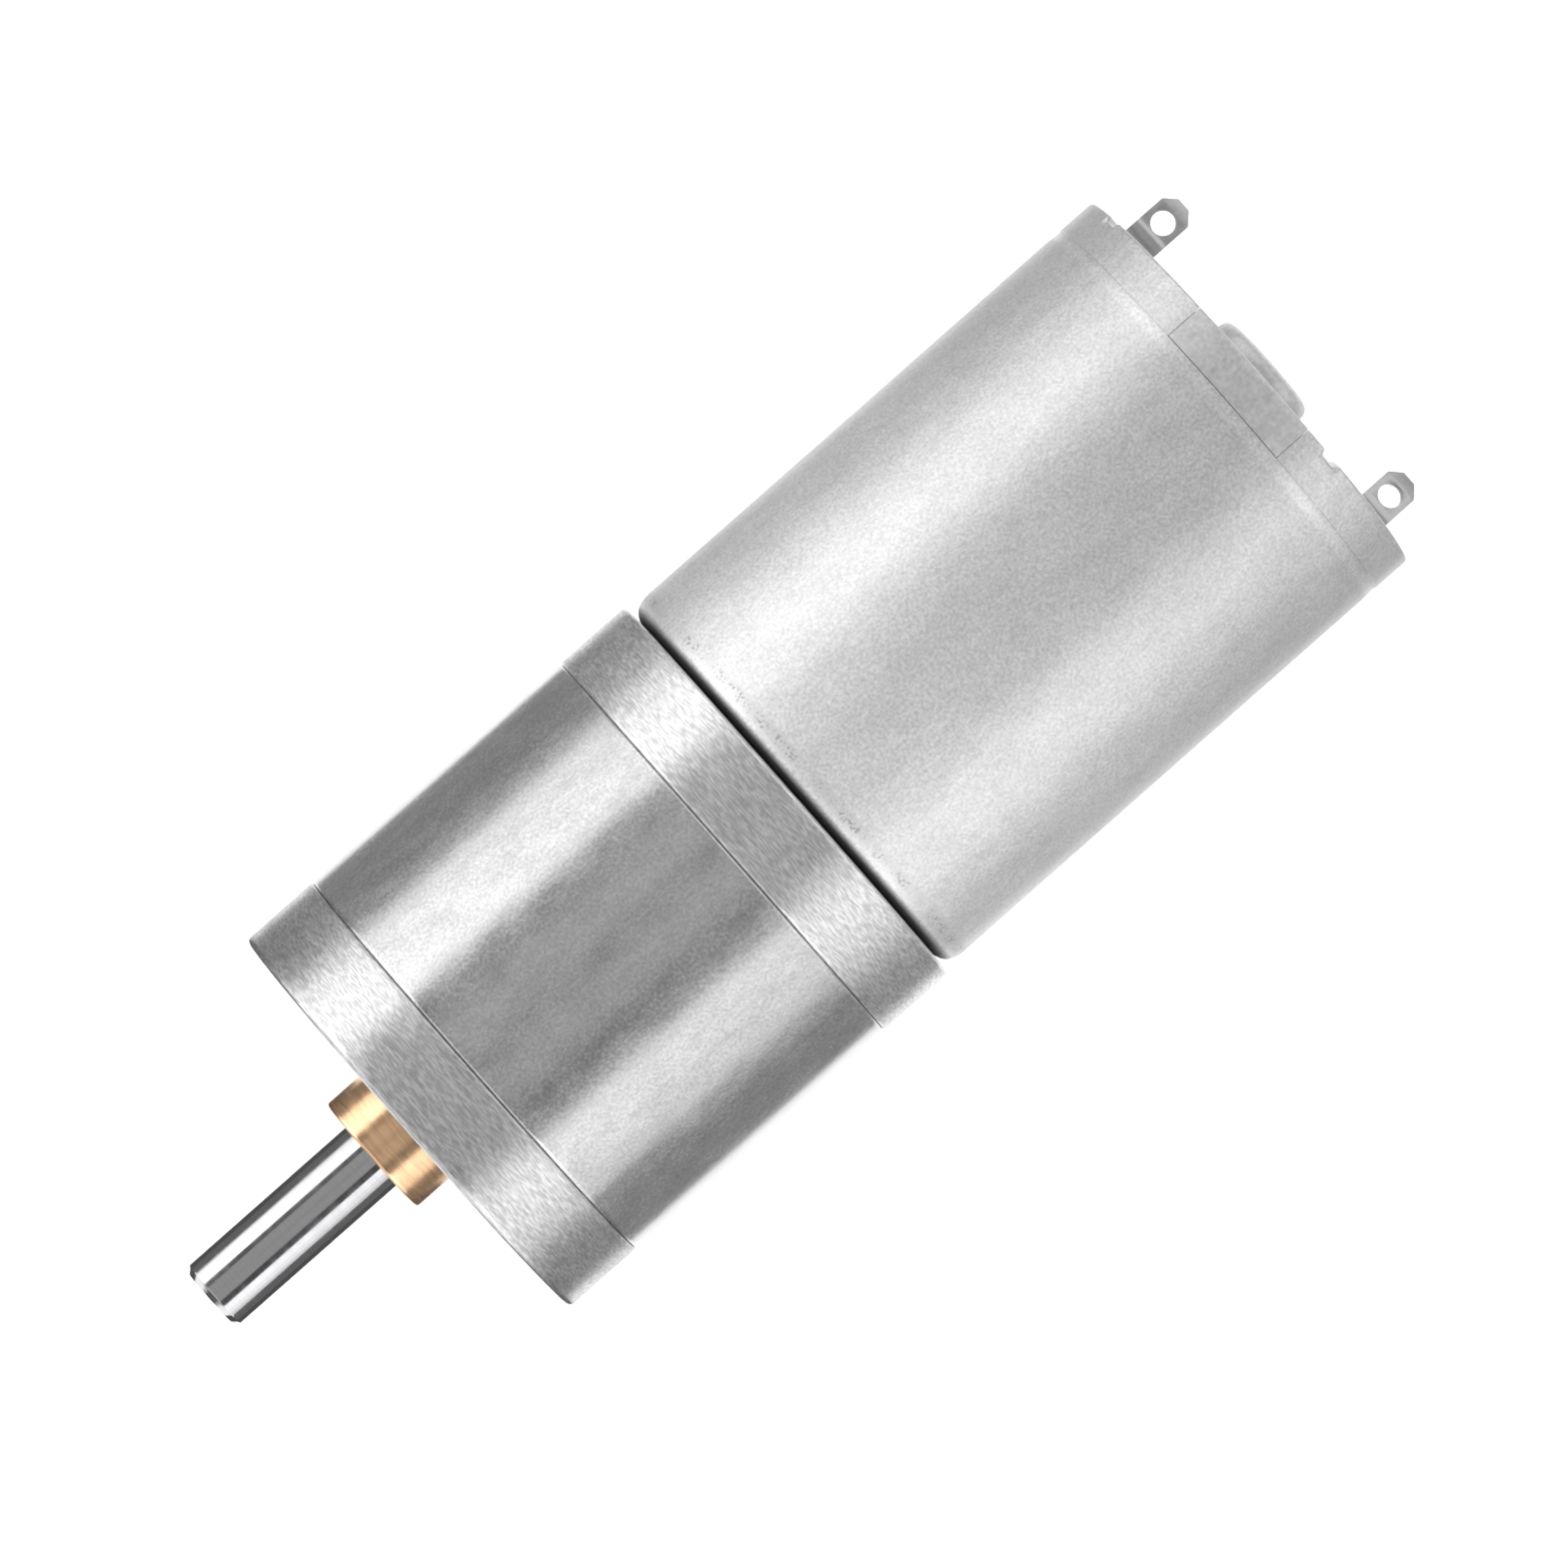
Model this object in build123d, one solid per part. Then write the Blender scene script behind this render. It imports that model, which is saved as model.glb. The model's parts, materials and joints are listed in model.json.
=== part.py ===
from build123d import *
import os
from math import acos, cos, pi, radians, sin, tan

# A 25 mm spur gearmotor: a brushed direct-current motor whose pinion drives five
# stages of spur gears on two fixed arbors, and a 4 mm output shaft in a brass bush.
# Units are millimetres. The origin is the centre of the gearbox's front face.
# +X runs along the output shaft, away from the motor. The gearmotor lies on its
# side, so +Z is up, and the two soldering terminals stand at either side in Y.

# Gearbox housing
GEARBOX_R = 12.5
TUBE_WALL = 1.0
FRONT_PLATE_T = 4.5
TUBE_LENGTH = 16.9
REAR_PLATE_T = 4.4
SPIGOT_LENGTH = 1.0
EDGE_R = 0.3

# Front mounting holes, tapped M3
MOUNT_HOLE_R = 1.25
MOUNT_SPACING = 17.0

# Output shaft and its bush
SHAFT_R = 2.0
D_END_R = 1.995
SHAFT_TIP_X = 13.5
SHAFT_TIP_CHAMFER = 0.4
FLAT_DEPTH = 0.5
FLAT_LENGTH = 10.0
BUSH_R = 3.5
BUSH_SEAT_R = 3.2
BUSH_RELIEF = 0.3
BUSH_PROTRUSION = 2.5
BUSH_CHAMFER = 0.15
SHAFT_GROOVE_R = 1.75
SHAFT_GROOVE_WIDTH = 0.6
RUNNING_GAP = 0.03

# Gear train: every stage has the same pinion and the same wheel
MODULE = 0.4
PRESSURE = radians(20)
PINION_TEETH = 8
WHEEL_TEETH = 23
PINION_SHIFT = 0.5
FLANK_RELIEF = 0.03
PINION_TIP_R = 2.1
PINION_ROOT_R = 1.3
WHEEL_TIP_R = 4.8
WHEEL_ROOT_R = 3.9
ARBOR_R = 0.75
ARBOR_SOCKET = 3.0
ARBOR_ANGLES = {"a": 60, "b": 120}
COLLAR_R = 1.25
WASHER_T = 0.12
STAGE_WIDTHS = [2.4, 2.5, 2.7, 2.9, 3.2]
STAGE_GAP = 0.2
MOTOR_PINION_LENGTH = 4.7

# Screws that hold the motor to the gearbox's rear plate, M2.5 countersunk
SCREW_R = 1.25
SCREW_HEAD_R = 2.35
SCREW_HEAD_T = 1.1
SCREW_SPACING = 17.0
SCREW_TIP_PAST_WALL = 0.6
SCREW_RECESS_WIDTH = 0.6
SCREW_RECESS_DEPTH = 0.8

# Motor can
CAN_R = 12.2
CAN_WALL = 0.8
CAN_LENGTH = 31.6
CAN_CORNER_R = 1.05
CAN_RIM_R = 0.2
CAN_GROOVE_FROM_RIM = 2.2
CAN_GROOVE_WIDTH = 0.35
CAN_GROOVE_DEPTH = 0.06
CAN_BOSS_R = 3.1
CAN_BOSS_LENGTH = 1.5
WINDOW_LOW_Y = -4.45
WINDOW_HIGH_Y = 3.8
STAKE_ANGLES = [62, 152, 242, 332]
STAKE_WIDTH = 1.35
STAKE_DEPTH = 0.26
STAKE_REACH = 0.5

# Metal end cap with its drawn bearing cup
CAP_T = 0.8
CAP_RECESS = 0.3
CUP_R = 3.175
CUP_TOP_FROM_RIM = 1.35
CUP_EDGE_R = 0.8
CUP_WALL = 0.6
TAB_DROP = 0.1
TAB_BEND_R = 0.4
TAB_SIDE_GAP = 0.05
CAP_OPENING_Y = 3.4
CAP_OPENING_Z = 2.8

# Motor bearings and shaft
BEARING_R = 2.4
FRONT_BEARING_LENGTH = 2.8
REAR_BEARING_LENGTH = 3.1
MOTOR_SHAFT_R = 1.0
MOTOR_SHAFT_GAP = 0.02
MOTOR_SHAFT_END_PLAY = 0.2
THRUST_WASHER_R = 1.6
THRUST_WASHER_T = 0.3

# Magnets and rotor
MAGNET_INNER_R = 8.7
MAGNET_LENGTH = 20.0
MAGNET_SPAN = 130
CLIP_T = 0.5
CLIP_LEG_SPAN = 3
ROTOR_MID_X = -40.0
ROTOR_R = 8.3
ROTOR_LENGTH = 15.0
POLES = 3
POLE_SPAN = 100
POLE_SHOE_INNER_R = 7.2
POLE_NECK = 2.4
ROTOR_HUB_R = 2.6
INSULATOR_T = 0.5
COIL_FOOT = 3.0
COIL_TOP = 6.5
COIL_BUILD = 1.6

# Commutator, brushes and terminals
COMMUTATOR_R = 3.2
SEGMENT_T = 0.7
SEGMENT_SPAN = 112
COMMUTATOR_REAR_X = -53.9
SEGMENT_REAR_X = -53.6
SEGMENT_FRONT_X = -50.2
VARISTOR_R = 5.2
VARISTOR_T = 0.7
HOLDER_T = 2.0
BRUSH_GAP = 0.05
BRUSH_Y = 1.3
BRUSH_Z = 2.0
BRUSH_REAR_X = -53.0
BRUSH_FRONT_X = -51.2
ARM_T = 0.3
ARM_WIDTH = 1.8
TERMINAL_WIDTH = 2.0
TERMINAL_T = 0.4
TERMINAL_HOLE_R = 0.65
TERMINAL_TIP_CHAMFER = 0.52

# Each terminal: its middle in Y, its tip in X, its hole in X and its bend in degrees
TERMINALS = {
    "left": {"y": -9.0, "tip_x": -60.87, "hole_x": -59.45, "bend": 0},
    "right": {"y": 9.15, "tip_x": -60.25, "hole_x": -58.9, "bend": 18},
}
TERMINAL_BEND_X = -57.9

# Stations along the axis that follow from the dimensions above
TUBE_FRONT_X = -FRONT_PLATE_T
TUBE_REAR_X = TUBE_FRONT_X - TUBE_LENGTH
MOTOR_X = TUBE_REAR_X - REAR_PLATE_T
CAVITY_FRONT_X = TUBE_FRONT_X - SPIGOT_LENGTH
CAVITY_REAR_X = TUBE_REAR_X + SPIGOT_LENGTH
TUBE_INNER_R = GEARBOX_R - TUBE_WALL
RIM_X = MOTOR_X - CAN_LENGTH
CAN_INNER_R = CAN_R - CAN_WALL
WINDOW_X = RIM_X + CAN_GROOVE_FROM_RIM
CAP_REAR_X = RIM_X + CAP_RECESS
CAP_FRONT_X = CAP_REAR_X + CAP_T
HOLDER_FRONT_X = CAP_FRONT_X + HOLDER_T
CUP_TOP_X = RIM_X - CUP_TOP_FROM_RIM
CUP_FLOOR_X = CUP_TOP_X + CUP_WALL
CORE_REAR_X = ROTOR_MID_X - ROTOR_LENGTH / 2
CORE_FRONT_X = ROTOR_MID_X + ROTOR_LENGTH / 2
CENTRE_DISTANCE = MODULE * (PINION_TEETH + WHEEL_TEETH) / 2


def across(x, y=0, z=0):
    """A plane facing +X, whose own two directions are the part's Y and Z."""
    return Plane(origin=(x, y, z), x_dir=(0, 1, 0), z_dir=(1, 0, 0))


def prism(face, x0, x1, y=0, z=0):
    """A face drawn in Y and Z, carried from x0 to x1."""
    return extrude(across(x0, y, z) * face, x1 - x0)


def rod(x0, x1, radius, y=0, z=0):
    return prism(Circle(radius), x0, x1, y, z)


def ring(x0, x1, outer_r, inner_r, y=0, z=0):
    return prism(Circle(outer_r) - Circle(inner_r), x0, x1, y, z)


def turned(*edges):
    """A closed outline in X and radius, turned about the X axis."""
    return revolve(make_face(edges), Axis.X)


def block(x0, x1, y0, y1, z0, z1):
    """A box between two corners."""
    middle = ((x0 + x1) / 2, (y0 + y1) / 2, (z0 + z1) / 2)
    return Pos(*middle) * Box(x1 - x0, y1 - y0, z1 - z0)


def sector(outer_r, inner_r, middle, span):
    """Part of a ring drawn in Y and Z, about a middle angle in degrees."""
    half = radians(span / 2)
    turn = radians(middle)

    def at(radius, angle):
        return (radius * cos(turn + angle), radius * sin(turn + angle))

    outer = ThreePointArc(at(outer_r, -half), at(outer_r, 0), at(outer_r, half))
    inner = ThreePointArc(at(inner_r, half), at(inner_r, 0), at(inner_r, -half))
    return make_face([outer, Line(outer @ 1, inner @ 0), inner, Line(inner @ 1, outer @ 0)])


def rounded_disc(x0, x1, radius, rear_r, front_r):
    """A disc between x0 and x1 with its two outer edges rounded."""
    disc = rod(x0, x1, radius)
    rims = disc.edges().sort_by(Axis.X)
    if rear_r:
        disc = fillet(rims[0], rear_r)
        rims = disc.edges().sort_by(Axis.X)
    if front_r:
        disc = fillet(rims[-1], front_r)
    return disc


# Gear geometry ------------------------------------------------------------------


def involute(angle):
    return tan(angle) - angle


def tooth_half_angle(radius, teeth, shift):
    """Half of the angle that a tooth spans at a radius on its flank."""
    pitch_r = MODULE * teeth / 2
    at_pitch = (pi / 2 + 2 * shift * tan(PRESSURE)) / teeth - FLANK_RELIEF / pitch_r
    flank = acos(min(1.0, pitch_r * cos(PRESSURE) / radius))
    return at_pitch + involute(PRESSURE) - involute(flank)


def gear_face(teeth, shift, tip_r, root_r, phase):
    """A gear's outline in Y and Z, with the middle of one tooth at the angle phase."""
    base_r = MODULE * teeth / 2 * cos(PRESSURE)
    flank_radii = [base_r + (tip_r - base_r) * step / 4 for step in range(5)]
    pitch = 2 * pi / teeth
    base_half = tooth_half_angle(base_r, teeth, shift)
    tip_half = tooth_half_angle(tip_r, teeth, shift)

    def at(radius, angle):
        return (radius * cos(angle), radius * sin(angle))

    edges = []
    for tooth in range(teeth):
        middle = phase + tooth * pitch
        rising = [at(r, middle - tooth_half_angle(r, teeth, shift)) for r in flank_radii]
        falling = [at(r, middle + tooth_half_angle(r, teeth, shift)) for r in flank_radii]
        root_end = at(root_r, middle + base_half)
        next_root = at(root_r, middle + pitch - base_half)
        edges.append(Line(at(root_r, middle - base_half), rising[0]))
        edges.append(Spline(*rising))
        edges.append(ThreePointArc(at(tip_r, middle - tip_half), at(tip_r, middle), falling[-1]))
        edges.append(Spline(*reversed(falling)))
        edges.append(Line(falling[0], root_end))
        edges.append(ThreePointArc(root_end, at(root_r, middle + pitch / 2), next_root))
    return make_face(edges)


def pinion_face(phase):
    return gear_face(PINION_TEETH, PINION_SHIFT, PINION_TIP_R, PINION_ROOT_R, phase)


def wheel_face(phase):
    return gear_face(WHEEL_TEETH, -PINION_SHIFT, WHEEL_TIP_R, WHEEL_ROOT_R, phase)


def wheel_phase(pinion_phase, direction):
    """The phase that puts a wheel in mesh with a pinion, given the way to the wheel."""
    past_tooth = (direction - pinion_phase) * PINION_TEETH / (2 * pi)
    return direction + pi - (0.5 - past_tooth) * 2 * pi / WHEEL_TEETH


def arbor_centre(name):
    angle = radians(ARBOR_ANGLES[name])
    return (CENTRE_DISTANCE * cos(angle), CENTRE_DISTANCE * sin(angle))


def stage_span(stage):
    """The X range of a gear stage, counted from the motor's end."""
    start = CAVITY_REAR_X + STAGE_GAP + sum(STAGE_WIDTHS[:stage]) + stage * STAGE_GAP
    return start, start + STAGE_WIDTHS[stage]


# Gearbox housing ----------------------------------------------------------------


def mount_positions(spacing):
    return [(-spacing / 2, 0), (spacing / 2, 0)]


def front_plate():
    plate = rounded_disc(TUBE_FRONT_X, 0, GEARBOX_R, 0, EDGE_R)
    plate += rod(CAVITY_FRONT_X, TUBE_FRONT_X, TUBE_INNER_R)
    plate -= rod(CAVITY_FRONT_X, 0, BUSH_SEAT_R)
    plate -= rod(-BUSH_RELIEF, 0, BUSH_R)
    for y, z in mount_positions(MOUNT_SPACING):
        plate -= rod(CAVITY_FRONT_X, 0, MOUNT_HOLE_R, y, z)
    for name in ARBOR_ANGLES:
        plate -= rod(CAVITY_FRONT_X, CAVITY_FRONT_X + ARBOR_SOCKET, ARBOR_R, *arbor_centre(name))
    return plate


def gearbox_tube():
    return ring(TUBE_REAR_X, TUBE_FRONT_X, GEARBOX_R, TUBE_INNER_R)


def rear_plate():
    plate = rounded_disc(MOTOR_X, TUBE_REAR_X, GEARBOX_R, EDGE_R, 0)
    plate += rod(TUBE_REAR_X, CAVITY_REAR_X, TUBE_INNER_R)
    plate -= rod(MOTOR_X, CAVITY_REAR_X, CAN_BOSS_R)
    for y, z in mount_positions(SCREW_SPACING):
        plate -= screw_solid(MOTOR_X, y, z)
    for name in ARBOR_ANGLES:
        plate -= rod(CAVITY_REAR_X - ARBOR_SOCKET, CAVITY_REAR_X, ARBOR_R, *arbor_centre(name))
    return plate


def screw_solid(tip_x, y, z):
    """A countersunk screw without its recess, with its head flush in the rear plate."""
    neck_x = CAVITY_REAR_X - SCREW_HEAD_T
    head = Polyline(
        (CAVITY_REAR_X, 0),
        (CAVITY_REAR_X, SCREW_HEAD_R),
        (neck_x, SCREW_R),
        (tip_x, SCREW_R),
        (tip_x, 0),
        close=True,
    )
    return Pos(0, y, z) * turned(head)


def motor_screws():
    tip_x = MOTOR_X - CAN_WALL - SCREW_TIP_PAST_WALL
    recess_floor = CAVITY_REAR_X - SCREW_RECESS_DEPTH
    reach = SCREW_RECESS_WIDTH * 2
    half = SCREW_RECESS_WIDTH / 2
    screws = []
    for y, z in mount_positions(SCREW_SPACING):
        screw = screw_solid(tip_x, y, z)
        screw -= block(recess_floor, CAVITY_REAR_X, y - reach, y + reach, z - half, z + half)
        screw -= block(recess_floor, CAVITY_REAR_X, y - half, y + half, z - reach, z + reach)
        screws.append(screw)
    return Compound(children=screws)


# Output shaft -------------------------------------------------------------------


def output_bush():
    """A brass bush whose wider boss stands on the front face."""
    bush = rod(0, BUSH_PROTRUSION, BUSH_R)
    bush = chamfer(bush.edges().sort_by(Axis.X)[-1], BUSH_CHAMFER)
    bush += rod(CAVITY_FRONT_X, 0, BUSH_SEAT_R)
    return bush - rod(CAVITY_FRONT_X, BUSH_PROTRUSION, SHAFT_R + RUNNING_GAP)


def output_shaft():
    """The D-shaft, with an oil groove just inside the bush's mouth."""
    flat_start_x = SHAFT_TIP_X - FLAT_LENGTH
    flat_z = FLAT_DEPTH - SHAFT_R
    half_flat = (D_END_R**2 - flat_z**2) ** 0.5
    arc = ThreePointArc((-half_flat, flat_z), (0, D_END_R), (half_flat, flat_z))
    d_end = prism(make_face([arc, Line(arc @ 1, arc @ 0)]), flat_start_x, SHAFT_TIP_X)
    tip_edge = d_end.edges().filter_by(GeomType.CIRCLE).sort_by(Axis.X)[-1]
    d_end = chamfer(tip_edge, SHAFT_TIP_CHAMFER)
    shaft = rod(stage_span(4)[0], flat_start_x, SHAFT_R)
    shaft -= ring(BUSH_PROTRUSION - SHAFT_GROOVE_WIDTH, BUSH_PROTRUSION, SHAFT_R + 1, SHAFT_GROOVE_R)
    return shaft + d_end


def output_washer():
    return ring(
        CAVITY_FRONT_X - (STAGE_GAP + WASHER_T) / 2,
        CAVITY_FRONT_X - (STAGE_GAP - WASHER_T) / 2,
        BUSH_SEAT_R,
        SHAFT_R + RUNNING_GAP,
    )


# Gear train ---------------------------------------------------------------------

# Each cluster's arbor, in the order that the drive passes through them
CLUSTERS = {"first": "a", "second": "b", "third": "a", "fourth": "b"}


def direction_between(start, end):
    """The angle in Y and Z of the way from one centre to another."""
    across_y = end[0] - start[0]
    across_z = end[1] - start[1]
    angle = acos(across_y / CENTRE_DISTANCE)
    return angle if across_z >= -1e-9 else -angle


def arbor_pin(name):
    rear_x = CAVITY_REAR_X - ARBOR_SOCKET
    front_x = CAVITY_FRONT_X + ARBOR_SOCKET
    return rod(rear_x, front_x, ARBOR_R, *arbor_centre(name))


def arbor_collar(name, stage):
    """The loose collar that fills an arbor's one stage with no gear on it."""
    return ring(*stage_span(stage), COLLAR_R, ARBOR_R + RUNNING_GAP, *arbor_centre(name))


def arbor_washers():
    """Thin washers in the gaps at the ends of every cluster and collar."""
    gaps = {"a": [0, 2, 4, 5], "b": [0, 1, 3, 5]}
    washers = []
    for name, places in gaps.items():
        for gap in places:
            end_x = CAVITY_FRONT_X if gap == len(STAGE_WIDTHS) else stage_span(gap)[0]
            middle = end_x - STAGE_GAP / 2
            low, high = middle - WASHER_T / 2, middle + WASHER_T / 2
            washers.append(ring(low, high, COLLAR_R, ARBOR_R + RUNNING_GAP, *arbor_centre(name)))
    return Compound(children=washers)


def cluster_wheel(stage, phase, centre):
    low, high = stage_span(stage)
    return prism(wheel_face(phase) - Circle(PINION_ROOT_R), low, high, *centre)


def cluster_pinion(stage, phase, centre):
    """A pinion whose plain hub carries the wheel of the stage before."""
    hub_low, hub_high = stage_span(stage - 1)
    solid = prism(pinion_face(phase), hub_high, stage_span(stage)[1], *centre)
    solid += rod(hub_low, hub_high, PINION_ROOT_R, *centre)
    return solid - rod(hub_low, stage_span(stage)[1], ARBOR_R + RUNNING_GAP, *centre)


def gear_train():
    """Every gear, in mesh with the one before it."""
    gears = {}
    low, high = stage_span(0)
    face = pinion_face(0) - Circle(MOTOR_SHAFT_R)
    gears["motor_pinion"] = prism(face, high - MOTOR_PINION_LENGTH, high)
    centre = (0, 0)
    for stage, (name, arbor) in enumerate(CLUSTERS.items()):
        next_centre = arbor_centre(arbor)
        phase = wheel_phase(0, direction_between(centre, next_centre))
        gears[name + "_wheel"] = cluster_wheel(stage, phase, next_centre)
        gears[name + "_pinion"] = cluster_pinion(stage + 1, 0, next_centre)
        centre = next_centre
    last = len(CLUSTERS)
    phase = wheel_phase(0, direction_between(centre, (0, 0)))
    gears["output_gear"] = prism(wheel_face(phase) - Circle(SHAFT_R), *stage_span(last))
    return gears


# Motor housing ------------------------------------------------------------------


def window_block(side):
    """The space of one rim window: the first is on top, the second below."""
    window = block(RIM_X, WINDOW_X, WINDOW_LOW_Y, WINDOW_HIGH_Y, CAN_INNER_R / 2, CAN_R + 1)
    return Rot(180 * side, 0, 0) * window


def motor_can():
    can = rounded_disc(RIM_X, MOTOR_X, CAN_R, CAN_RIM_R, CAN_CORNER_R)
    can -= rod(RIM_X, MOTOR_X - CAN_WALL, CAN_INNER_R)
    can += rod(MOTOR_X, MOTOR_X + CAN_BOSS_LENGTH, CAN_BOSS_R)
    can -= rod(MOTOR_X - CAN_WALL, MOTOR_X + CAN_BOSS_LENGTH, BEARING_R)
    half_groove = CAN_GROOVE_WIDTH / 2
    groove_floor = CAN_R - CAN_GROOVE_DEPTH
    can -= ring(WINDOW_X - half_groove, WINDOW_X + half_groove, CAN_R + 1, groove_floor)
    for y, z in mount_positions(SCREW_SPACING):
        can -= rod(MOTOR_X - CAN_WALL, MOTOR_X, SCREW_R, y, z)
    for side in (0, 1):
        can -= window_block(side)
    half = STAKE_WIDTH / 2
    for angle in STAKE_ANGLES:
        notch = block(RIM_X, RIM_X + STAKE_DEPTH, CAN_INNER_R + CAN_WALL / 2, CAN_R + 1, -half, half)
        bead = block(RIM_X, CAP_REAR_X, CAN_INNER_R - STAKE_REACH, CAN_INNER_R + EDGE_R, -half, half)
        can -= Rot(angle, 0, 0) * notch
        can += Rot(angle, 0, 0) * bead
    return can


def magnet(middle):
    half = MAGNET_LENGTH / 2
    arc = sector(CAN_INNER_R, MAGNET_INNER_R, middle, MAGNET_SPAN)
    return prism(arc, ROTOR_MID_X - half, ROTOR_MID_X + half)


def magnet_clip():
    """A bent spring between the magnets' ends on the +Y side, which spreads them."""
    half_gap = (180 - MAGNET_SPAN) / 2
    half = MAGNET_LENGTH / 2 - 1
    reach = CAN_INNER_R - CLIP_T
    face = sector(CAN_INNER_R, reach, 0, 2 * half_gap)
    for side in (-1, 1):
        leg_middle = side * (half_gap - CLIP_LEG_SPAN / 2)
        face += sector(reach, MAGNET_INNER_R + CLIP_T, leg_middle, CLIP_LEG_SPAN)
    return prism(face, ROTOR_MID_X - half, ROTOR_MID_X + half)


def front_bearing():
    front_x = MOTOR_X + CAN_BOSS_LENGTH
    return ring(front_x - FRONT_BEARING_LENGTH, front_x, BEARING_R, MOTOR_SHAFT_R + MOTOR_SHAFT_GAP)


def rear_bearing():
    front_x = CUP_FLOOR_X + REAR_BEARING_LENGTH
    return ring(CUP_FLOOR_X, front_x, BEARING_R, MOTOR_SHAFT_R + MOTOR_SHAFT_GAP)


def cap_tab(side):
    """One tab of the end cap, bent forward into a window of the can's rim."""
    tab_r = CAN_R - TAB_DROP
    front_x = WINDOW_X - TAB_SIDE_GAP
    bend_mid = TAB_BEND_R * (1 - cos(pi / 4))
    outline = [
        Line((CAP_FRONT_X, CAN_INNER_R - 1), (CAP_FRONT_X, CAN_INNER_R)),
        Line((CAP_FRONT_X, CAN_INNER_R), (front_x, CAN_INNER_R)),
        Line((front_x, CAN_INNER_R), (front_x, tab_r)),
        Line((front_x, tab_r), (RIM_X + TAB_BEND_R, tab_r)),
        ThreePointArc(
            (RIM_X + TAB_BEND_R, tab_r),
            (RIM_X + bend_mid, tab_r - bend_mid),
            (RIM_X, tab_r - TAB_BEND_R),
        ),
        Line((RIM_X, tab_r - TAB_BEND_R), (RIM_X, CAN_INNER_R - 1)),
        Line((RIM_X, CAN_INNER_R - 1), (CAP_FRONT_X, CAN_INNER_R - 1)),
    ]
    low_y = WINDOW_LOW_Y + TAB_SIDE_GAP
    high_y = WINDOW_HIGH_Y - TAB_SIDE_GAP
    space = block(RIM_X, WINDOW_X, low_y, high_y, CAN_INNER_R / 2, CAN_R + 1)
    return Rot(180 * side, 0, 0) * (turned(*outline) & space)


def terminal_openings(y_size, z_size, x0, x1):
    """The two spaces around the terminals, as blocks from x0 to x1."""
    spaces = []
    for place in TERMINALS.values():
        y = place["y"]
        spaces.append(block(x0, x1, y - y_size / 2, y + y_size / 2, -z_size / 2, z_size / 2))
    return spaces


def end_cap():
    cap = rod(CAP_REAR_X, CAP_FRONT_X, CAN_INNER_R)
    cup = rod(CUP_TOP_X, CAP_REAR_X, CUP_R)
    cap += fillet(cup.edges().sort_by(Axis.X)[0], CUP_EDGE_R)
    for side in (0, 1):
        cap += cap_tab(side)
    cap -= rod(CUP_FLOOR_X, CAP_FRONT_X, BEARING_R)
    for space in terminal_openings(CAP_OPENING_Y, CAP_OPENING_Z, CAP_REAR_X, CAP_FRONT_X):
        cap -= space
    return cap


def brush_holder():
    holder = rod(CAP_FRONT_X, HOLDER_FRONT_X, CAN_INNER_R) - rod(CAP_FRONT_X, HOLDER_FRONT_X, BEARING_R)
    for space in terminal_openings(CAP_OPENING_Y, CAP_OPENING_Z, CAP_REAR_X, CAP_FRONT_X):
        holder += space
    for slot in terminal_openings(TERMINAL_WIDTH, TERMINAL_T, CAP_REAR_X, HOLDER_FRONT_X):
        holder -= slot
    return holder


def terminal(name):
    """A flat soldering blade with a hole and a clipped tip, bent where it needs to be."""
    place = TERMINALS[name]
    half = TERMINAL_WIDTH / 2
    base = block(
        TERMINAL_BEND_X,
        HOLDER_FRONT_X,
        place["y"] - half,
        place["y"] + half,
        -TERMINAL_T / 2,
        TERMINAL_T / 2,
    )
    shorten = cos(radians(place["bend"]))
    reach = (TERMINAL_BEND_X - place["tip_x"]) / shorten
    hole_reach = (TERMINAL_BEND_X - place["hole_x"]) / shorten
    clip = half - TERMINAL_TIP_CHAMFER
    outline = Polyline(
        (0, -half),
        (-reach + TERMINAL_TIP_CHAMFER, -half),
        (-reach, -clip),
        (-reach, clip),
        (-reach + TERMINAL_TIP_CHAMFER, half),
        (0, half),
        close=True,
    )
    face = make_face(outline) - Pos(-hole_reach, 0) * Circle(TERMINAL_HOLE_R)
    blade = Pos(0, 0, -TERMINAL_T / 2) * extrude(face, TERMINAL_T)
    if place["bend"]:
        blade += Rot(90, 0, 0) * Cylinder(TERMINAL_T / 2, TERMINAL_WIDTH)
    return base + Pos(TERMINAL_BEND_X, place["y"], 0) * (Rot(0, -place["bend"], 0) * blade)


def side_of(name):
    return 1 if TERMINALS[name]["y"] > 0 else -1


def mirrored_block(side, x0, x1, y0, y1, z_half):
    """A block drawn on the +Y side, or its mirror image on the -Y side."""
    low, high = sorted((side * y0, side * y1))
    return block(x0, x1, low, high, -z_half, z_half)


def brush(name):
    inner = COMMUTATOR_R + BRUSH_GAP
    return mirrored_block(side_of(name), BRUSH_REAR_X, BRUSH_FRONT_X, inner, inner + BRUSH_Y, BRUSH_Z / 2)


def brush_arm(name):
    """A springy copper leaf from the terminal's foot to the back of the brush."""
    side = side_of(name)
    leaf_y = COMMUTATOR_R + BRUSH_GAP + BRUSH_Y
    foot_y = abs(TERMINALS[name]["y"]) + TERMINAL_WIDTH / 2
    half = ARM_WIDTH / 2
    foot = mirrored_block(side, HOLDER_FRONT_X, HOLDER_FRONT_X + ARM_T, leaf_y, foot_y, half)
    return foot + mirrored_block(side, HOLDER_FRONT_X, BRUSH_FRONT_X, leaf_y, leaf_y + ARM_T, half)


# Rotor --------------------------------------------------------------------------


def motor_shaft():
    shaft = rod(CUP_FLOOR_X + MOTOR_SHAFT_END_PLAY, stage_span(0)[1], MOTOR_SHAFT_R)
    return chamfer(shaft.edges().sort_by(Axis.X)[0], MOTOR_SHAFT_R / 4)


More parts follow.
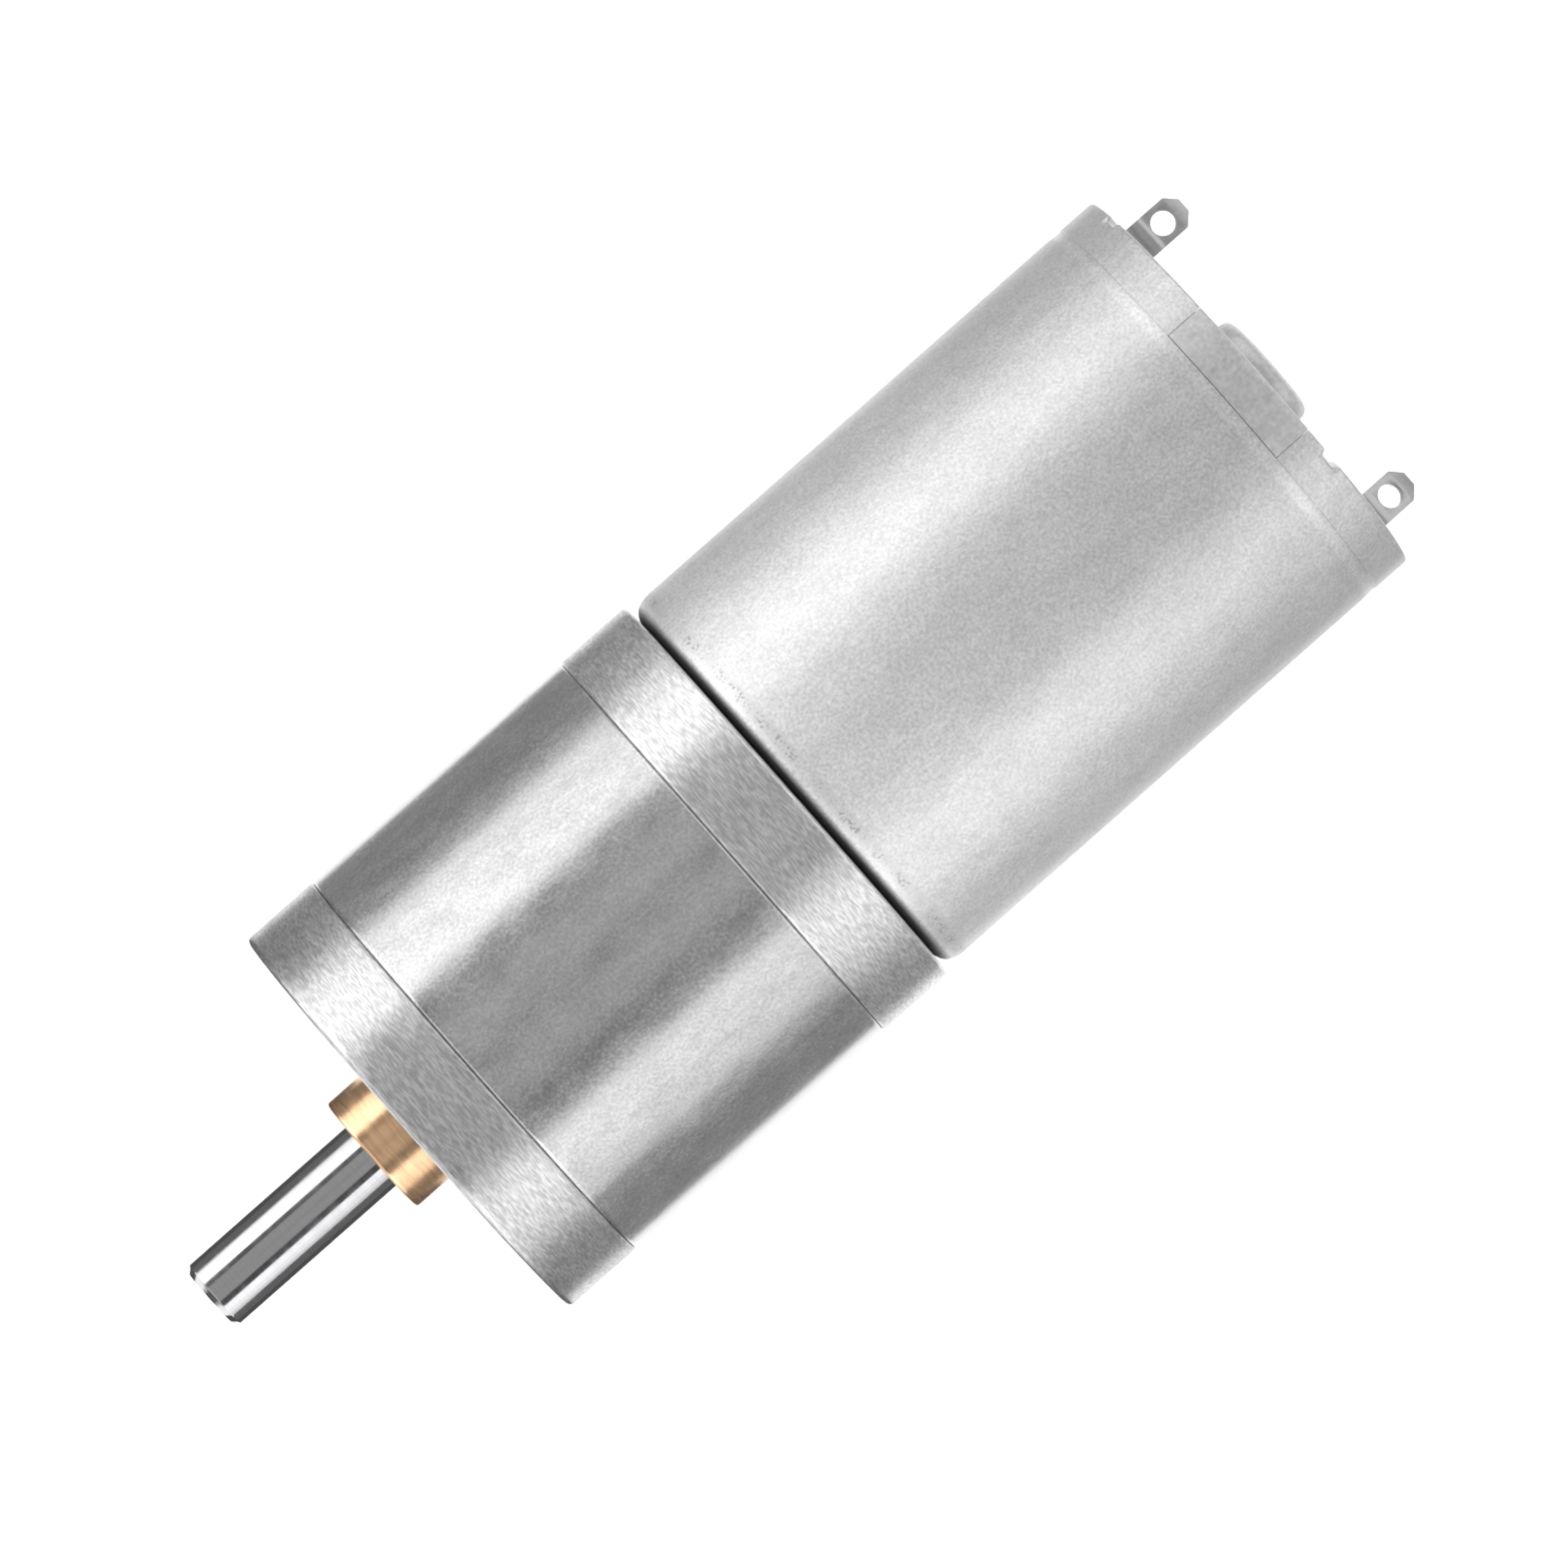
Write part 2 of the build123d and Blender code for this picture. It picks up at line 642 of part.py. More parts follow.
def pole_angles():
    return [90 + pole * 360 / POLES for pole in range(POLES)]


def star_face(outer_r):
    """The plan of one lamination: a hub, three necks and three curved shoes."""
    face = Circle(ROTOR_HUB_R)
    neck_length = (POLE_SHOE_INNER_R + outer_r) / 2
    for angle in pole_angles():
        face += Rot(0, 0, angle) * (Pos(neck_length / 2, 0) * Rectangle(neck_length, POLE_NECK))
        face += sector(outer_r, POLE_SHOE_INNER_R, angle, POLE_SPAN)
    return face - Circle(MOTOR_SHAFT_R)


def rotor_core():
    return prism(star_face(ROTOR_R), CORE_REAR_X, CORE_FRONT_X)


def slot_insulators():
    face = star_face(ROTOR_R - INSULATOR_T)
    return Compound(
        children=[
            prism(face, CORE_REAR_X - INSULATOR_T, CORE_REAR_X),
            prism(face, CORE_FRONT_X, CORE_FRONT_X + INSULATOR_T),
        ]
    )


def rotor_windings():
    """One rounded coil of copper wire around the neck of each pole."""
    inside_length = ROTOR_LENGTH + 2 * INSULATOR_T
    inside = Rectangle(inside_length, POLE_NECK)
    outside = RectangleRounded(inside_length + 2 * COIL_BUILD, POLE_NECK + 2 * COIL_BUILD, COIL_BUILD * 0.8)
    coil = Pos(ROTOR_MID_X, 0, COIL_FOOT) * extrude(outside - inside, COIL_TOP - COIL_FOOT)
    return Compound(children=[Rot(angle - 90, 0, 0) * coil for angle in pole_angles()])


def commutator_hub():
    front_x = CORE_REAR_X - INSULATOR_T
    return ring(COMMUTATOR_REAR_X, front_x, COMMUTATOR_R - SEGMENT_T, MOTOR_SHAFT_R)


def commutator_segments():
    segments = []
    for angle in pole_angles():
        arc = sector(COMMUTATOR_R, COMMUTATOR_R - SEGMENT_T, angle + 180, SEGMENT_SPAN)
        segments.append(prism(arc, SEGMENT_REAR_X, SEGMENT_FRONT_X))
    return Compound(children=segments)


def varistor_ring():
    return ring(SEGMENT_FRONT_X - VARISTOR_T, SEGMENT_FRONT_X, VARISTOR_R, COMMUTATOR_R)


def rotor_washers():
    """Thrust washers on the shaft, one beside each bearing."""
    rear_x = CUP_FLOOR_X + REAR_BEARING_LENGTH + MOTOR_SHAFT_END_PLAY
    front_x = MOTOR_X + CAN_BOSS_LENGTH - FRONT_BEARING_LENGTH - MOTOR_SHAFT_END_PLAY
    return Compound(
        children=[
            ring(rear_x, rear_x + THRUST_WASHER_T, THRUST_WASHER_R, MOTOR_SHAFT_R),
            ring(front_x - THRUST_WASHER_T, front_x, THRUST_WASHER_R, MOTOR_SHAFT_R),
        ]
    )


def all_nodes():
    nodes = {
        "front_plate": front_plate(),
        "gearbox_tube": gearbox_tube(),
        "rear_plate": rear_plate(),
        "motor_screws": motor_screws(),
        "output_bush": output_bush(),
        "output_shaft": output_shaft(),
        "output_washer": output_washer(),
        "arbor_pin_a": arbor_pin("a"),
        "arbor_pin_b": arbor_pin("b"),
        "arbor_collar_a": arbor_collar("a", 4),
        "arbor_collar_b": arbor_collar("b", 0),
        "arbor_washers": arbor_washers(),
        "motor_can": motor_can(),
        "magnet_top": magnet(90),
        "magnet_bottom": magnet(270),
        "magnet_clip": magnet_clip(),
        "front_bearing": front_bearing(),
        "rear_bearing": rear_bearing(),
        "end_cap": end_cap(),
        "brush_holder": brush_holder(),
        "motor_shaft": motor_shaft(),
        "rotor_core": rotor_core(),
        "slot_insulators": slot_insulators(),
        "rotor_windings": rotor_windings(),
        "commutator_hub": commutator_hub(),
        "commutator_segments": commutator_segments(),
        "varistor_ring": varistor_ring(),
        "rotor_washers": rotor_washers(),
    }
    for name in TERMINALS:
        nodes["terminal_" + name] = terminal(name)
        nodes["brush_" + name] = brush(name)
        nodes["brush_arm_" + name] = brush_arm(name)
    nodes.update(gear_train())
    return nodes


os.makedirs("parts", exist_ok=True)
for node, solid in all_nodes().items():
    export_step(solid, "parts/" + node + ".step")
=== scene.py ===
import json
from math import asin, cos, degrees, pi, radians, sin, tan

import bmesh
import bpy
from mathutils import Matrix, Vector


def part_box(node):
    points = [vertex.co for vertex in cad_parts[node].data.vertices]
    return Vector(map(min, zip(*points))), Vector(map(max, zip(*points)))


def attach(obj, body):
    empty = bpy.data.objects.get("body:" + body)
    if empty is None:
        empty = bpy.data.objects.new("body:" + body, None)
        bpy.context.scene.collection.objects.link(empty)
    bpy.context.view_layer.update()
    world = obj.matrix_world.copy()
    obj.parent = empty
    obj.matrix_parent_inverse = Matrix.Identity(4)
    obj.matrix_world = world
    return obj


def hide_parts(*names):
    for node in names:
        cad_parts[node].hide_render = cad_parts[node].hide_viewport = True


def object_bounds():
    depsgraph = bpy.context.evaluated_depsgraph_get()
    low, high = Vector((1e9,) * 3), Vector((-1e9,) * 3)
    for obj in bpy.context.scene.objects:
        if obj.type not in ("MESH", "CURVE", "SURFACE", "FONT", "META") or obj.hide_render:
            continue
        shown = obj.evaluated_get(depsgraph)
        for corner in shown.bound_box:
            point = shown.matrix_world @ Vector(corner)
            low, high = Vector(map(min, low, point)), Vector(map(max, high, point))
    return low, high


# Looks for a small round gearmotor that lies on its side. Lengths in the helpers are in
# millimetres, in the part's own frame: +X along the output shaft, +Z up. MM turns them
# into metres. Angles from straight up are in degrees.
MM = 0.001
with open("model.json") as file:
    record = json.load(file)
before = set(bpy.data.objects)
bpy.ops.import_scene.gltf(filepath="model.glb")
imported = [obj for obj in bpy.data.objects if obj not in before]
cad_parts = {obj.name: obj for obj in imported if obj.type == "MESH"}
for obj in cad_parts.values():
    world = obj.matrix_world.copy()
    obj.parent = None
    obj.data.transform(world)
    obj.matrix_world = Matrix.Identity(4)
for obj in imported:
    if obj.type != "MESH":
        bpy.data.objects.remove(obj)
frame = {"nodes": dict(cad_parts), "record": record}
cad_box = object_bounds()


def span(node):
    """A CAD node's lowest and highest corner, in millimetres."""
    low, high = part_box(node)
    return Vector(low) / MM, Vector(high) / MM


# Stations and radii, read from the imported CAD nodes
FRONT_LOW, FRONT_HIGH = span("front_plate")
TUBE_LOW, TUBE_HIGH = span("gearbox_tube")
CAN_LOW, CAN_HIGH = span("motor_can")
BUSH_LOW, BUSH_HIGH = span("output_bush")
SHAFT_LOW, SHAFT_HIGH = span("output_shaft")
BLADE_SPANS = {"left": span("terminal_left"), "right": span("terminal_right")}

GEARBOX_R = TUBE_HIGH.y
FACE_X = FRONT_HIGH.x
TUBE_FRONT_X = TUBE_HIGH.x
TUBE_REAR_X = TUBE_LOW.x
MOTOR_X = span("rear_plate")[0].x
RIM_X = CAN_LOW.x
CAN_R = CAN_HIGH.y
BUSH_R = BUSH_HIGH.y
SHAFT_R = SHAFT_HIGH.y
BEARING_R = span("rear_bearing")[1].y
CAP_TOP_X = span("end_cap")[0].x
FLOOR_Z = cad_box[0].z / MM

# Sizes of details that the boxes don't give. Gearbox: its tube and plates, and the tapped
# holes of the front plate, whose threads have THREAD_ROWS rows of points in each turn
TUBE_WALL = 1.0
TUBE_INNER_R = GEARBOX_R - TUBE_WALL
SPIGOT = 1.0
SEAM_CHAMFER = 0.2
MOUNT_SPACING = 17.0
MOUNT_HOLE_R = 1.25
THREAD_R = 1.5
THREAD_PITCH = 0.5
THREAD_ROWS = 8
COUNTERSINK = 0.2
COUNTERSINK_DEPTH = 0.5

# Output shaft and its bush
RUNNING_GAP = 0.03
BUSH_SEAT_R = 3.2
BUSH_RELIEF = 0.3
SHAFT_GROOVE_R = 1.75
SHAFT_GROOVE_X = (1.9, 2.5)
TIP_CHAMFER_LENGTH = 0.32
TIP_CHAMFER_DEPTH = 0.28
FLAT_DEPTH = 0.5
FLAT_LENGTH = 10.0

# Motor can: its boss, the groove by its rim, its windows, and the stakes that hold the cap.
# A stake is flat and then fades out at two distances round the rim from its middle. Its push
# is the greatest move in X and in radius, inside the wall and outside it.
CAN_WALL = 0.8
CAN_INNER_R = CAN_R - CAN_WALL
CAN_CORNER_R = 1.35
CAN_BOSS_R = 3.1
RIM_EDGE_R = 0.22
GROOVE_X = RIM_X + 2.2
GROOVE_STEP = 0.03
GROOVE_RUNOUT = 0.75
GROOVE_DEPTH = 0.06
WINDOW_LOW_Y = -4.45
WINDOW_HIGH_Y = 3.8
STAKE_ANGLES = [62, 152, 242, 332]
STAKE_FLAT = 0.45
STAKE_EDGE = 0.72
STAKE_LENGTH = 0.9
STAKE_PUSH_INSIDE = (0.22, 0.22)
STAKE_PUSH_OUTSIDE = (0.3, 0.14)
STAKE_STEP = 0.12

# End cap: its cup, its openings for the terminals, and its tabs, each with a faint channel
# that is flat and then fades out at two distances from its middle
CUP_R = 3.175
CUP_EDGE_R = 0.8
CAP_T = 0.8
CAP_RECESS = 0.3
OPENING_HALF_Y = 1.7
OPENING_HALF_Z = 1.4
OPENING_CORNER_R = 0.35
TAB_END_GAP = 0.03
TAB_SIDE_GAP = 0.02
TAB_DROP = 0.03
TAB_FOOT = 0.6
TAB_RIB = 0.035
TAB_RIB_Y = -1.3
TAB_RIB_FLAT = 0.25
TAB_RIB_EDGE = 0.45
TAB_STEP = 0.2

# Terminals: where they bend, how far in degrees, and their pressed ridge, which rises and
# falls between two distances past the bend
TERMINAL_Y = {side: (low.y + high.y) / 2 for side, (low, high) in BLADE_SPANS.items()}
TERMINAL_WIDTH = 2.0
TERMINAL_T = 0.4
TERMINAL_HOLE_R = 0.65
TERMINAL_BEND_X = RIM_X - 0.5
TERMINAL_TILT = {"left": 0, "right": 18}
TERMINAL_RIDGE = {"left": 0.08, "right": 0.0}
HOLE_FROM_TIP = {"left": 1.42, "right": 1.35}
TIP_CLIP = 0.6
RIDGE_RISE = (0.0, 0.3)
RIDGE_FALL = (0.6, 0.9)
BEND_HALF = 0.15
BLADE_STEP = 0.1
BLADE_BEVEL = 0.04
BLADE_SHARP_ANGLE = 40


# Mesh helpers ---------------------------------------------------------------------

# A support point's distance from its edge, the greatest share of a run that a rounding may
# take, and the angle in degrees past which an edge is sharp
SUPPORT = 0.06
RUN_SHARE = 0.45
SHARP_ANGLE = 32


def smooth_step(value, low, high):
    t = min(1.0, max(0.0, (value - low) / (high - low)))
    return t * t * (3 - 2 * t)


def rounded_outline(corners, closed=True, steps=6):
    """Points in X and radius through (x, radius, rounding) corners, with a support point
    just inside each end of every straight run, so that smooth shading stays on the edges."""
    count = len(corners)
    arcs = []
    for index, (x, r, rounding) in enumerate(corners):
        here = Vector((x, r))
        if rounding <= 0 or (not closed and index in (0, count - 1)):
            arcs.append([here])
            continue
        before = Vector(corners[index - 1][:2]) - here
        after = Vector(corners[(index + 1) % count][:2]) - here
        half = before.angle(after) / 2
        back = min(rounding / tan(half), before.length * RUN_SHARE, after.length * RUN_SHARE)
        first = here + before.normalized() * back
        last = here + after.normalized() * back
        arc = []
        for step in range(steps + 1):
            t = step / steps
            arc.append(first * (1 - t) ** 2 + here * 2 * t * (1 - t) + last * t**2)
        arcs.append(arc)
    path = []
    for index, arc in enumerate(arcs):
        path.extend(arc)
        if not closed and index == count - 1:
            break
        start, end = arc[-1], arcs[(index + 1) % count][0]
        run = end - start
        if run.length > 4 * SUPPORT:
            path.append(start + run.normalized() * SUPPORT)
            path.append(end - run.normalized() * SUPPORT)
    return path


def refine(path, x_low, x_high, step):
    """Divides the runs of a closed outline that lie between two stations into short steps."""
    result = []
    for index, point in enumerate(path):
        result.append(point)
        end = path[(index + 1) % len(path)]
        inside = x_low <= min(point.x, end.x) and max(point.x, end.x) <= x_high
        parts = int((end - point).length / step) if inside else 0
        for part in range(1, parts):
            result.append(point.lerp(end, part / parts))
    return result


def smooth(piece, sharp_angle=SHARP_ANGLE):
    piece.data.shade_smooth()
    piece.data.set_sharp_from_angle(angle=radians(sharp_angle))


def link(name, bm):
    """A smooth piece from a finished bmesh, which is freed."""
    mesh = bpy.data.meshes.new(name)
    bm.to_mesh(mesh)
    bm.free()
    piece = bpy.data.objects.new(name, mesh)
    bpy.context.scene.collection.objects.link(piece)
    smooth(piece)
    return piece


def turned(name, path, closed=True, segments=256, first=0.0, last=360.0, shape=None):
    """An outline in X and radius turned about the X axis, all the way or from one angle to
    another. shape may move each point: it is given x, radius and the angle in radians."""
    whole = last - first >= 360
    turns = segments if whole else segments + 1
    bm = bmesh.new()
    rings = []
    for point in path:
        if point.y < 1e-6:
            rings.append([bm.verts.new(Vector((point.x, 0, 0)) * MM)] * turns)
            continue
        ring = []
        for turn in range(turns):
            angle = radians(first + (last - first) * turn / segments)
            x, r = (point.x, point.y) if shape is None else shape(point.x, point.y, angle)
            ring.append(bm.verts.new(Vector((x, r * cos(angle), r * sin(angle))) * MM))
        rings.append(ring)
    following = rings[1:] + rings[:1] if closed else rings[1:]
    for ring, other in zip(rings, following):
        for turn in range(turns if whole else turns - 1):
            after = (turn + 1) % turns
            corners = [ring[turn], ring[after], other[after], other[turn]]
            unique = list(dict.fromkeys(corners))
            if len(unique) > 2:
                bm.faces.new(unique)
    if not whole:
        bm.faces.new([ring[0] for ring in rings])
        bm.faces.new([ring[-1] for ring in reversed(rings)])
    bmesh.ops.recalc_face_normals(bm, faces=bm.faces)
    return link(name, bm)


def skinned(name, sections):
    """A closed solid through sections that have the same number of points."""
    bm = bmesh.new()
    rings = [[bm.verts.new(Vector(point) * MM) for point in section] for section in sections]
    for ring, other in zip(rings, rings[1:]):
        for index in range(len(ring)):
            after = (index + 1) % len(ring)
            bm.faces.new([ring[index], ring[after], other[after], other[index]])
    bm.faces.new(rings[0])
    bm.faces.new(list(reversed(rings[-1])))
    bmesh.ops.recalc_face_normals(bm, faces=bm.faces)
    return link(name, bm)


def rounded_block(name, low, high, rounding=0.02, steps=5):
    """A block between two corners with its edges along X rounded."""
    middle_y, middle_z = (low[1] + high[1]) / 2, (low[2] + high[2]) / 2
    half_y, half_z = (high[1] - low[1]) / 2 - rounding, (high[2] - low[2]) / 2 - rounding
    outline = []
    for quarter in range(4):
        for step in range(steps + 1):
            angle = pi / 2 * (quarter + step / steps)
            sign_y = 1 if quarter in (0, 3) else -1
            sign_z = 1 if quarter in (0, 1) else -1
            y = middle_y + sign_y * half_y + rounding * cos(angle)
            z = middle_z + sign_z * half_z + rounding * sin(angle)
            outline.append((y, z))
    return skinned(name, [[(x, y, z) for y, z in outline] for x in (low[0], high[0])])


def apply_modifiers(piece):
    graph = bpy.context.evaluated_depsgraph_get()
    mesh = bpy.data.meshes.new_from_object(piece.evaluated_get(graph))
    piece.modifiers.clear()
    piece.data = mesh


def cut(piece, cutter):
    """Takes a cutter away from a piece, and removes the cutter."""
    boolean = piece.modifiers.new("cut", "BOOLEAN")
    boolean.operation = "DIFFERENCE"
    boolean.solver = "EXACT"
    boolean.object = cutter
    apply_modifiers(piece)
    bpy.data.objects.remove(cutter)
    smooth(piece)


def shift(piece, x=0.0, y=0.0, z=0.0):
    piece.data.transform(Matrix.Translation(Vector((x, y, z)) * MM))
    return piece


def join(name, pieces):
    """Several pieces as one mesh."""
    bm = bmesh.new()
    for piece in pieces:
        bm.from_mesh(piece.data)
    for piece in pieces:
        bpy.data.objects.remove(piece)
    return link(name, bm)


def stands_for(piece, node, body, slot_name):
    """The piece replaces a CAD node, rides on its body and takes its slot's material."""
    piece.data.materials.clear()
    piece.data.materials.append(MATERIALS[slot_name])
    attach(piece, body)
    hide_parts(node)


# Materials ------------------------------------------------------------------------


class Nodes:
    """A short way to write a material's node tree."""

    def __init__(self, name):
        self.material = bpy.data.materials.new(name)
        self.material.use_nodes = True
        self.tree = self.material.node_tree
        self.shader = self.tree.nodes["Principled BSDF"]
        coordinates = self.tree.nodes.new("ShaderNodeTexCoord")
        self.place = coordinates.outputs["Object"]
        split = self.add("ShaderNodeSeparateXYZ", {"Vector": self.place})
        self.x, self.y, self.z = (split.outputs[name] for name in "XYZ")

    def add(self, kind, inputs, **settings):
        """A node with its settings; each input is given a value or linked to a socket."""
        node = self.tree.nodes.new(kind)
        for key, value in settings.items():
            setattr(node, key, value)
        for key, value in inputs.items():
            if isinstance(value, bpy.types.NodeSocket):
                self.tree.links.new(value, node.inputs[key])
            else:
                node.inputs[key].default_value = value
        return node

    def math(self, operation, first, second=0.0):
        return self.add("ShaderNodeMath", {0: first, 1: second}, operation=operation).outputs[0]

    def plus(self, first, second):
        return self.math("ADD", first, second)

    def minus(self, first, second):
        return self.math("SUBTRACT", first, second)

    def times(self, first, second):
        return self.math("MULTIPLY", first, second)

    def stretched(self, along, around):
        """The place in millimetres, stretched along the axis and across it."""
        factors = [along / MM, around / MM, around / MM]
        return self.add("ShaderNodeMapping", {"Vector": self.place, "Scale": factors}).outputs[0]

    def turning_lines(self, along, around):
        """Coordinates that vary fast along the axis and the radius, and slowly around it."""
        flat = self.add("ShaderNodeCombineXYZ", {"Y": self.y, "Z": self.z}).outputs[0]
        length = self.add("ShaderNodeVectorMath", {0: flat}, operation="LENGTH")
        fast_r = self.times(length.outputs["Value"], along / MM)
        inputs = {
            "X": self.times(self.x, along / MM),
            "Y": self.plus(fast_r, self.times(self.y, around / MM)),
            "Z": self.times(self.z, around / MM),
        }
        return self.add("ShaderNodeCombineXYZ", inputs).outputs[0]

    def noise(self, vector, detail=3.0, roughness=0.55):
        inputs = {"Vector": vector, "Scale": 1.0, "Detail": detail, "Roughness": roughness}
        return self.add("ShaderNodeTexNoise", inputs).outputs["Fac"]

    def ramp(self, value, low, high, from_low=0.3, from_high=0.7):
        """A noise value carried to the range low to high."""
        inputs = {0: value, 1: from_low, 2: from_high, 3: low, 4: high}
        return self.add("ShaderNodeMapRange", inputs).outputs[0]

    def ramp_of_sum(self, first, second, low, high):
        """Two noise values added, and carried to the range low to high."""
        return self.ramp(self.plus(first, second), low, high, 0.7, 1.3)

    def around_one(self, value, contrast):
        """A noise value carried to the range 1 - contrast to 1 + contrast."""
        return self.ramp(value, 1 - contrast, 1 + contrast)

    def mix(self, factor, first, second):
        inputs = {"Factor": factor, "A": (*first, 1), "B": (*second, 1)}
        return self.add("ShaderNodeMix", inputs, data_type="RGBA").outputs["Result"]

    def along_axis(self, low_x, high_x, low=0, high=1):
        """From low at one station along the axis to high at another."""
        return self.ramp(self.x, low, high, low_x * MM, high_x * MM)

    def ring(self, x, half, fade):
        """1 within half of a station along the axis, and 0 past the fade."""
        off = self.math("ABSOLUTE", self.minus(self.x, x * MM))
        return self.ramp(off, 1, 0, half * MM, fade * MM)

    def scaled(self, colour, *factors):
        for factor in factors:
            inputs = {0: colour, "Scale": factor}
            colour = self.add("ShaderNodeVectorMath", inputs, operation="SCALE").outputs[0]
        return colour

    def finish(self, colour, roughness, height, distance, metallic=1.0):
        """Links the shader. distance is the height of the bump, in millimetres."""
        inputs = {"Height": height, "Distance": distance * MM, "Strength": 1.0}
        normal = self.add("ShaderNodeBump", inputs).outputs["Normal"]
        for key, socket in (("Base Color", colour), ("Roughness", roughness), ("Normal", normal)):
            self.tree.links.new(socket, self.shader.inputs[key])
        self.shader.inputs["Metallic"].default_value = metallic
        return self.material


def shade(colour, factor):
    return tuple(channel * factor for channel in colour)


def neutral(level):
    return (level, level, level)


def turned_steel(name, rear, front, rough, height, contrast, along, around):
    """Metal with short fine tool marks round the axis, and two tones along it."""
    nodes = Nodes(name)
    fine = nodes.noise(nodes.turning_lines(along, around), roughness=0.6)
    broad = nodes.noise(nodes.turning_lines(along / 4, around / 3), detail=2.0)
    cloud = nodes.noise(nodes.stretched(0.25, 0.25), detail=2.0)
    pale = nodes.mix(nodes.along_axis(MOTOR_X, FACE_X), rear, front)
    grey = nodes.ramp(fine, 1 - contrast, 1 + contrast, 0.4, 0.62)
    roughness = nodes.ramp_of_sum(broad, cloud, rough - 0.05, rough + 0.07)
    lines = nodes.plus(fine, nodes.times(broad, 0.6))
    return nodes.finish(nodes.scaled(pale, grey), roughness, lines, height)


def grained_steel(name, colour, rough, grain=3.0, height=0.002, contrast=0.06, patch=0.6):
    """Metal with a fine even grain and faint larger patches."""
    nodes = Nodes(name)
    fine = nodes.noise(nodes.stretched(grain, grain))
    cloud = nodes.noise(nodes.stretched(patch, patch * 2), detail=4.0)
    dark, light = shade(colour, 1 - contrast), shade(colour, 1 + contrast)
    tone = nodes.mix(nodes.ramp(fine, 0, 1), dark, light)
    patches = nodes.around_one(cloud, contrast / 2)
    roughness = nodes.ramp_of_sum(fine, cloud, rough - 0.04, rough + 0.06)
    return nodes.finish(nodes.scaled(tone, patches), roughness, fine, height)


# Where the can's finish, its painted shade and its painted highlight change along it. Each
# ring: its station, half its width, and how far off it has faded away. Each fade: where it
# starts and ends.
SPECKLED_RING = (MOTOR_X - 1.2, 0.15, 0.45)
# A smoother burnished ring by the groove, which is also painted lighter as a highlight
BURNISHED_AND_HIGHLIGHT_RING = (GROOVE_X + 0.4, 0.15, 0.4)
# Painted shade: the can darkens toward its front corner, in the crevice against the rear plate
GAP_SHADE_FADE = (MOTOR_X - 0.66, MOTOR_X - 0.3)
MATT_FADE = (MOTOR_X - 14, MOTOR_X - 2)
# How far each changes the can's tone or roughness
# Painted shade: the can's tone in the crevice at the rear plate
GAP_SHADE_TONE = 0.15
SPECK_TONE = 0.5
# Painted highlight: how much lighter the burnished ring is made
PAINTED_HIGHLIGHT_TONE = 0.1
BURNISH_ROUGHNESS = 0.04
MATT_ROUGHNESS = 0.08
PLATED_METALLIC = 0.92


def drawn_steel(name, rear, front, rough, grain, height, contrast):
    """The can's plated steel: pebbly, paler and rougher toward the front, with painted shade
    in the gap there and a speckled ring beside it, and with a smoother burnished ring by the
    rim's groove that is also painted lighter as a highlight."""
    nodes = Nodes(name)
    fine = nodes.noise(nodes.stretched(grain, grain))
    cloud = nodes.noise(nodes.stretched(0.35, 0.7), detail=4.0)
    pale = nodes.mix(nodes.along_axis(RIM_X, MOTOR_X), rear, front)
    grey = nodes.around_one(fine, contrast)
    patches = nodes.around_one(cloud, contrast / 3)
    # Painted shade in the gap between the can and the rear plate
    gap = nodes.along_axis(*GAP_SHADE_FADE, 1, GAP_SHADE_TONE)
    flecks = nodes.ramp(fine, 0, 1, 0.5, 0.6)
    groups = nodes.ramp(cloud, 0, 1, 0.4, 0.54)
    specks = nodes.times(nodes.ring(*SPECKLED_RING), nodes.times(flecks, groups))
    # Mask of the burnished ring: it lowers the roughness and carries a painted highlight
    burnish_and_highlight = nodes.ring(*BURNISHED_AND_HIGHLIGHT_RING)
    # The gap's painted shade, darkened further by the real speckled marks
    gap_shade_and_specks = nodes.minus(gap, nodes.times(specks, SPECK_TONE))
    # Painted highlight on the burnished ring, added to the gap's painted shade and the specks
    shade_highlight_and_specks = nodes.plus(gap_shade_and_specks, nodes.times(burnish_and_highlight, PAINTED_HIGHLIGHT_TONE))
    matt = nodes.times(nodes.along_axis(*MATT_FADE), MATT_ROUGHNESS)
    pebbly = nodes.plus(nodes.ramp(fine, rough - 0.03, rough + 0.03), matt)
    roughness = nodes.minus(pebbly, nodes.times(burnish_and_highlight, BURNISH_ROUGHNESS))
    tone = nodes.scaled(pale, grey, patches, shade_highlight_and_specks)
    return nodes.finish(tone, roughness, fine, height, metallic=PLATED_METALLIC)


def moulded(name, colour, rough, grain=6.0, height=0.004):
    """Plastic, ceramic or fibre with a fine moulded grain."""
    nodes = Nodes(name)
    fine = nodes.noise(nodes.stretched(grain, grain))
    tone = nodes.mix(nodes.ramp(fine, 0, 1), shade(colour, 0.85), shade(colour, 1.15))
    roughness = nodes.ramp(fine, rough - 0.05, rough + 0.05)
    return nodes.finish(tone, roughness, fine, height, metallic=0.0)


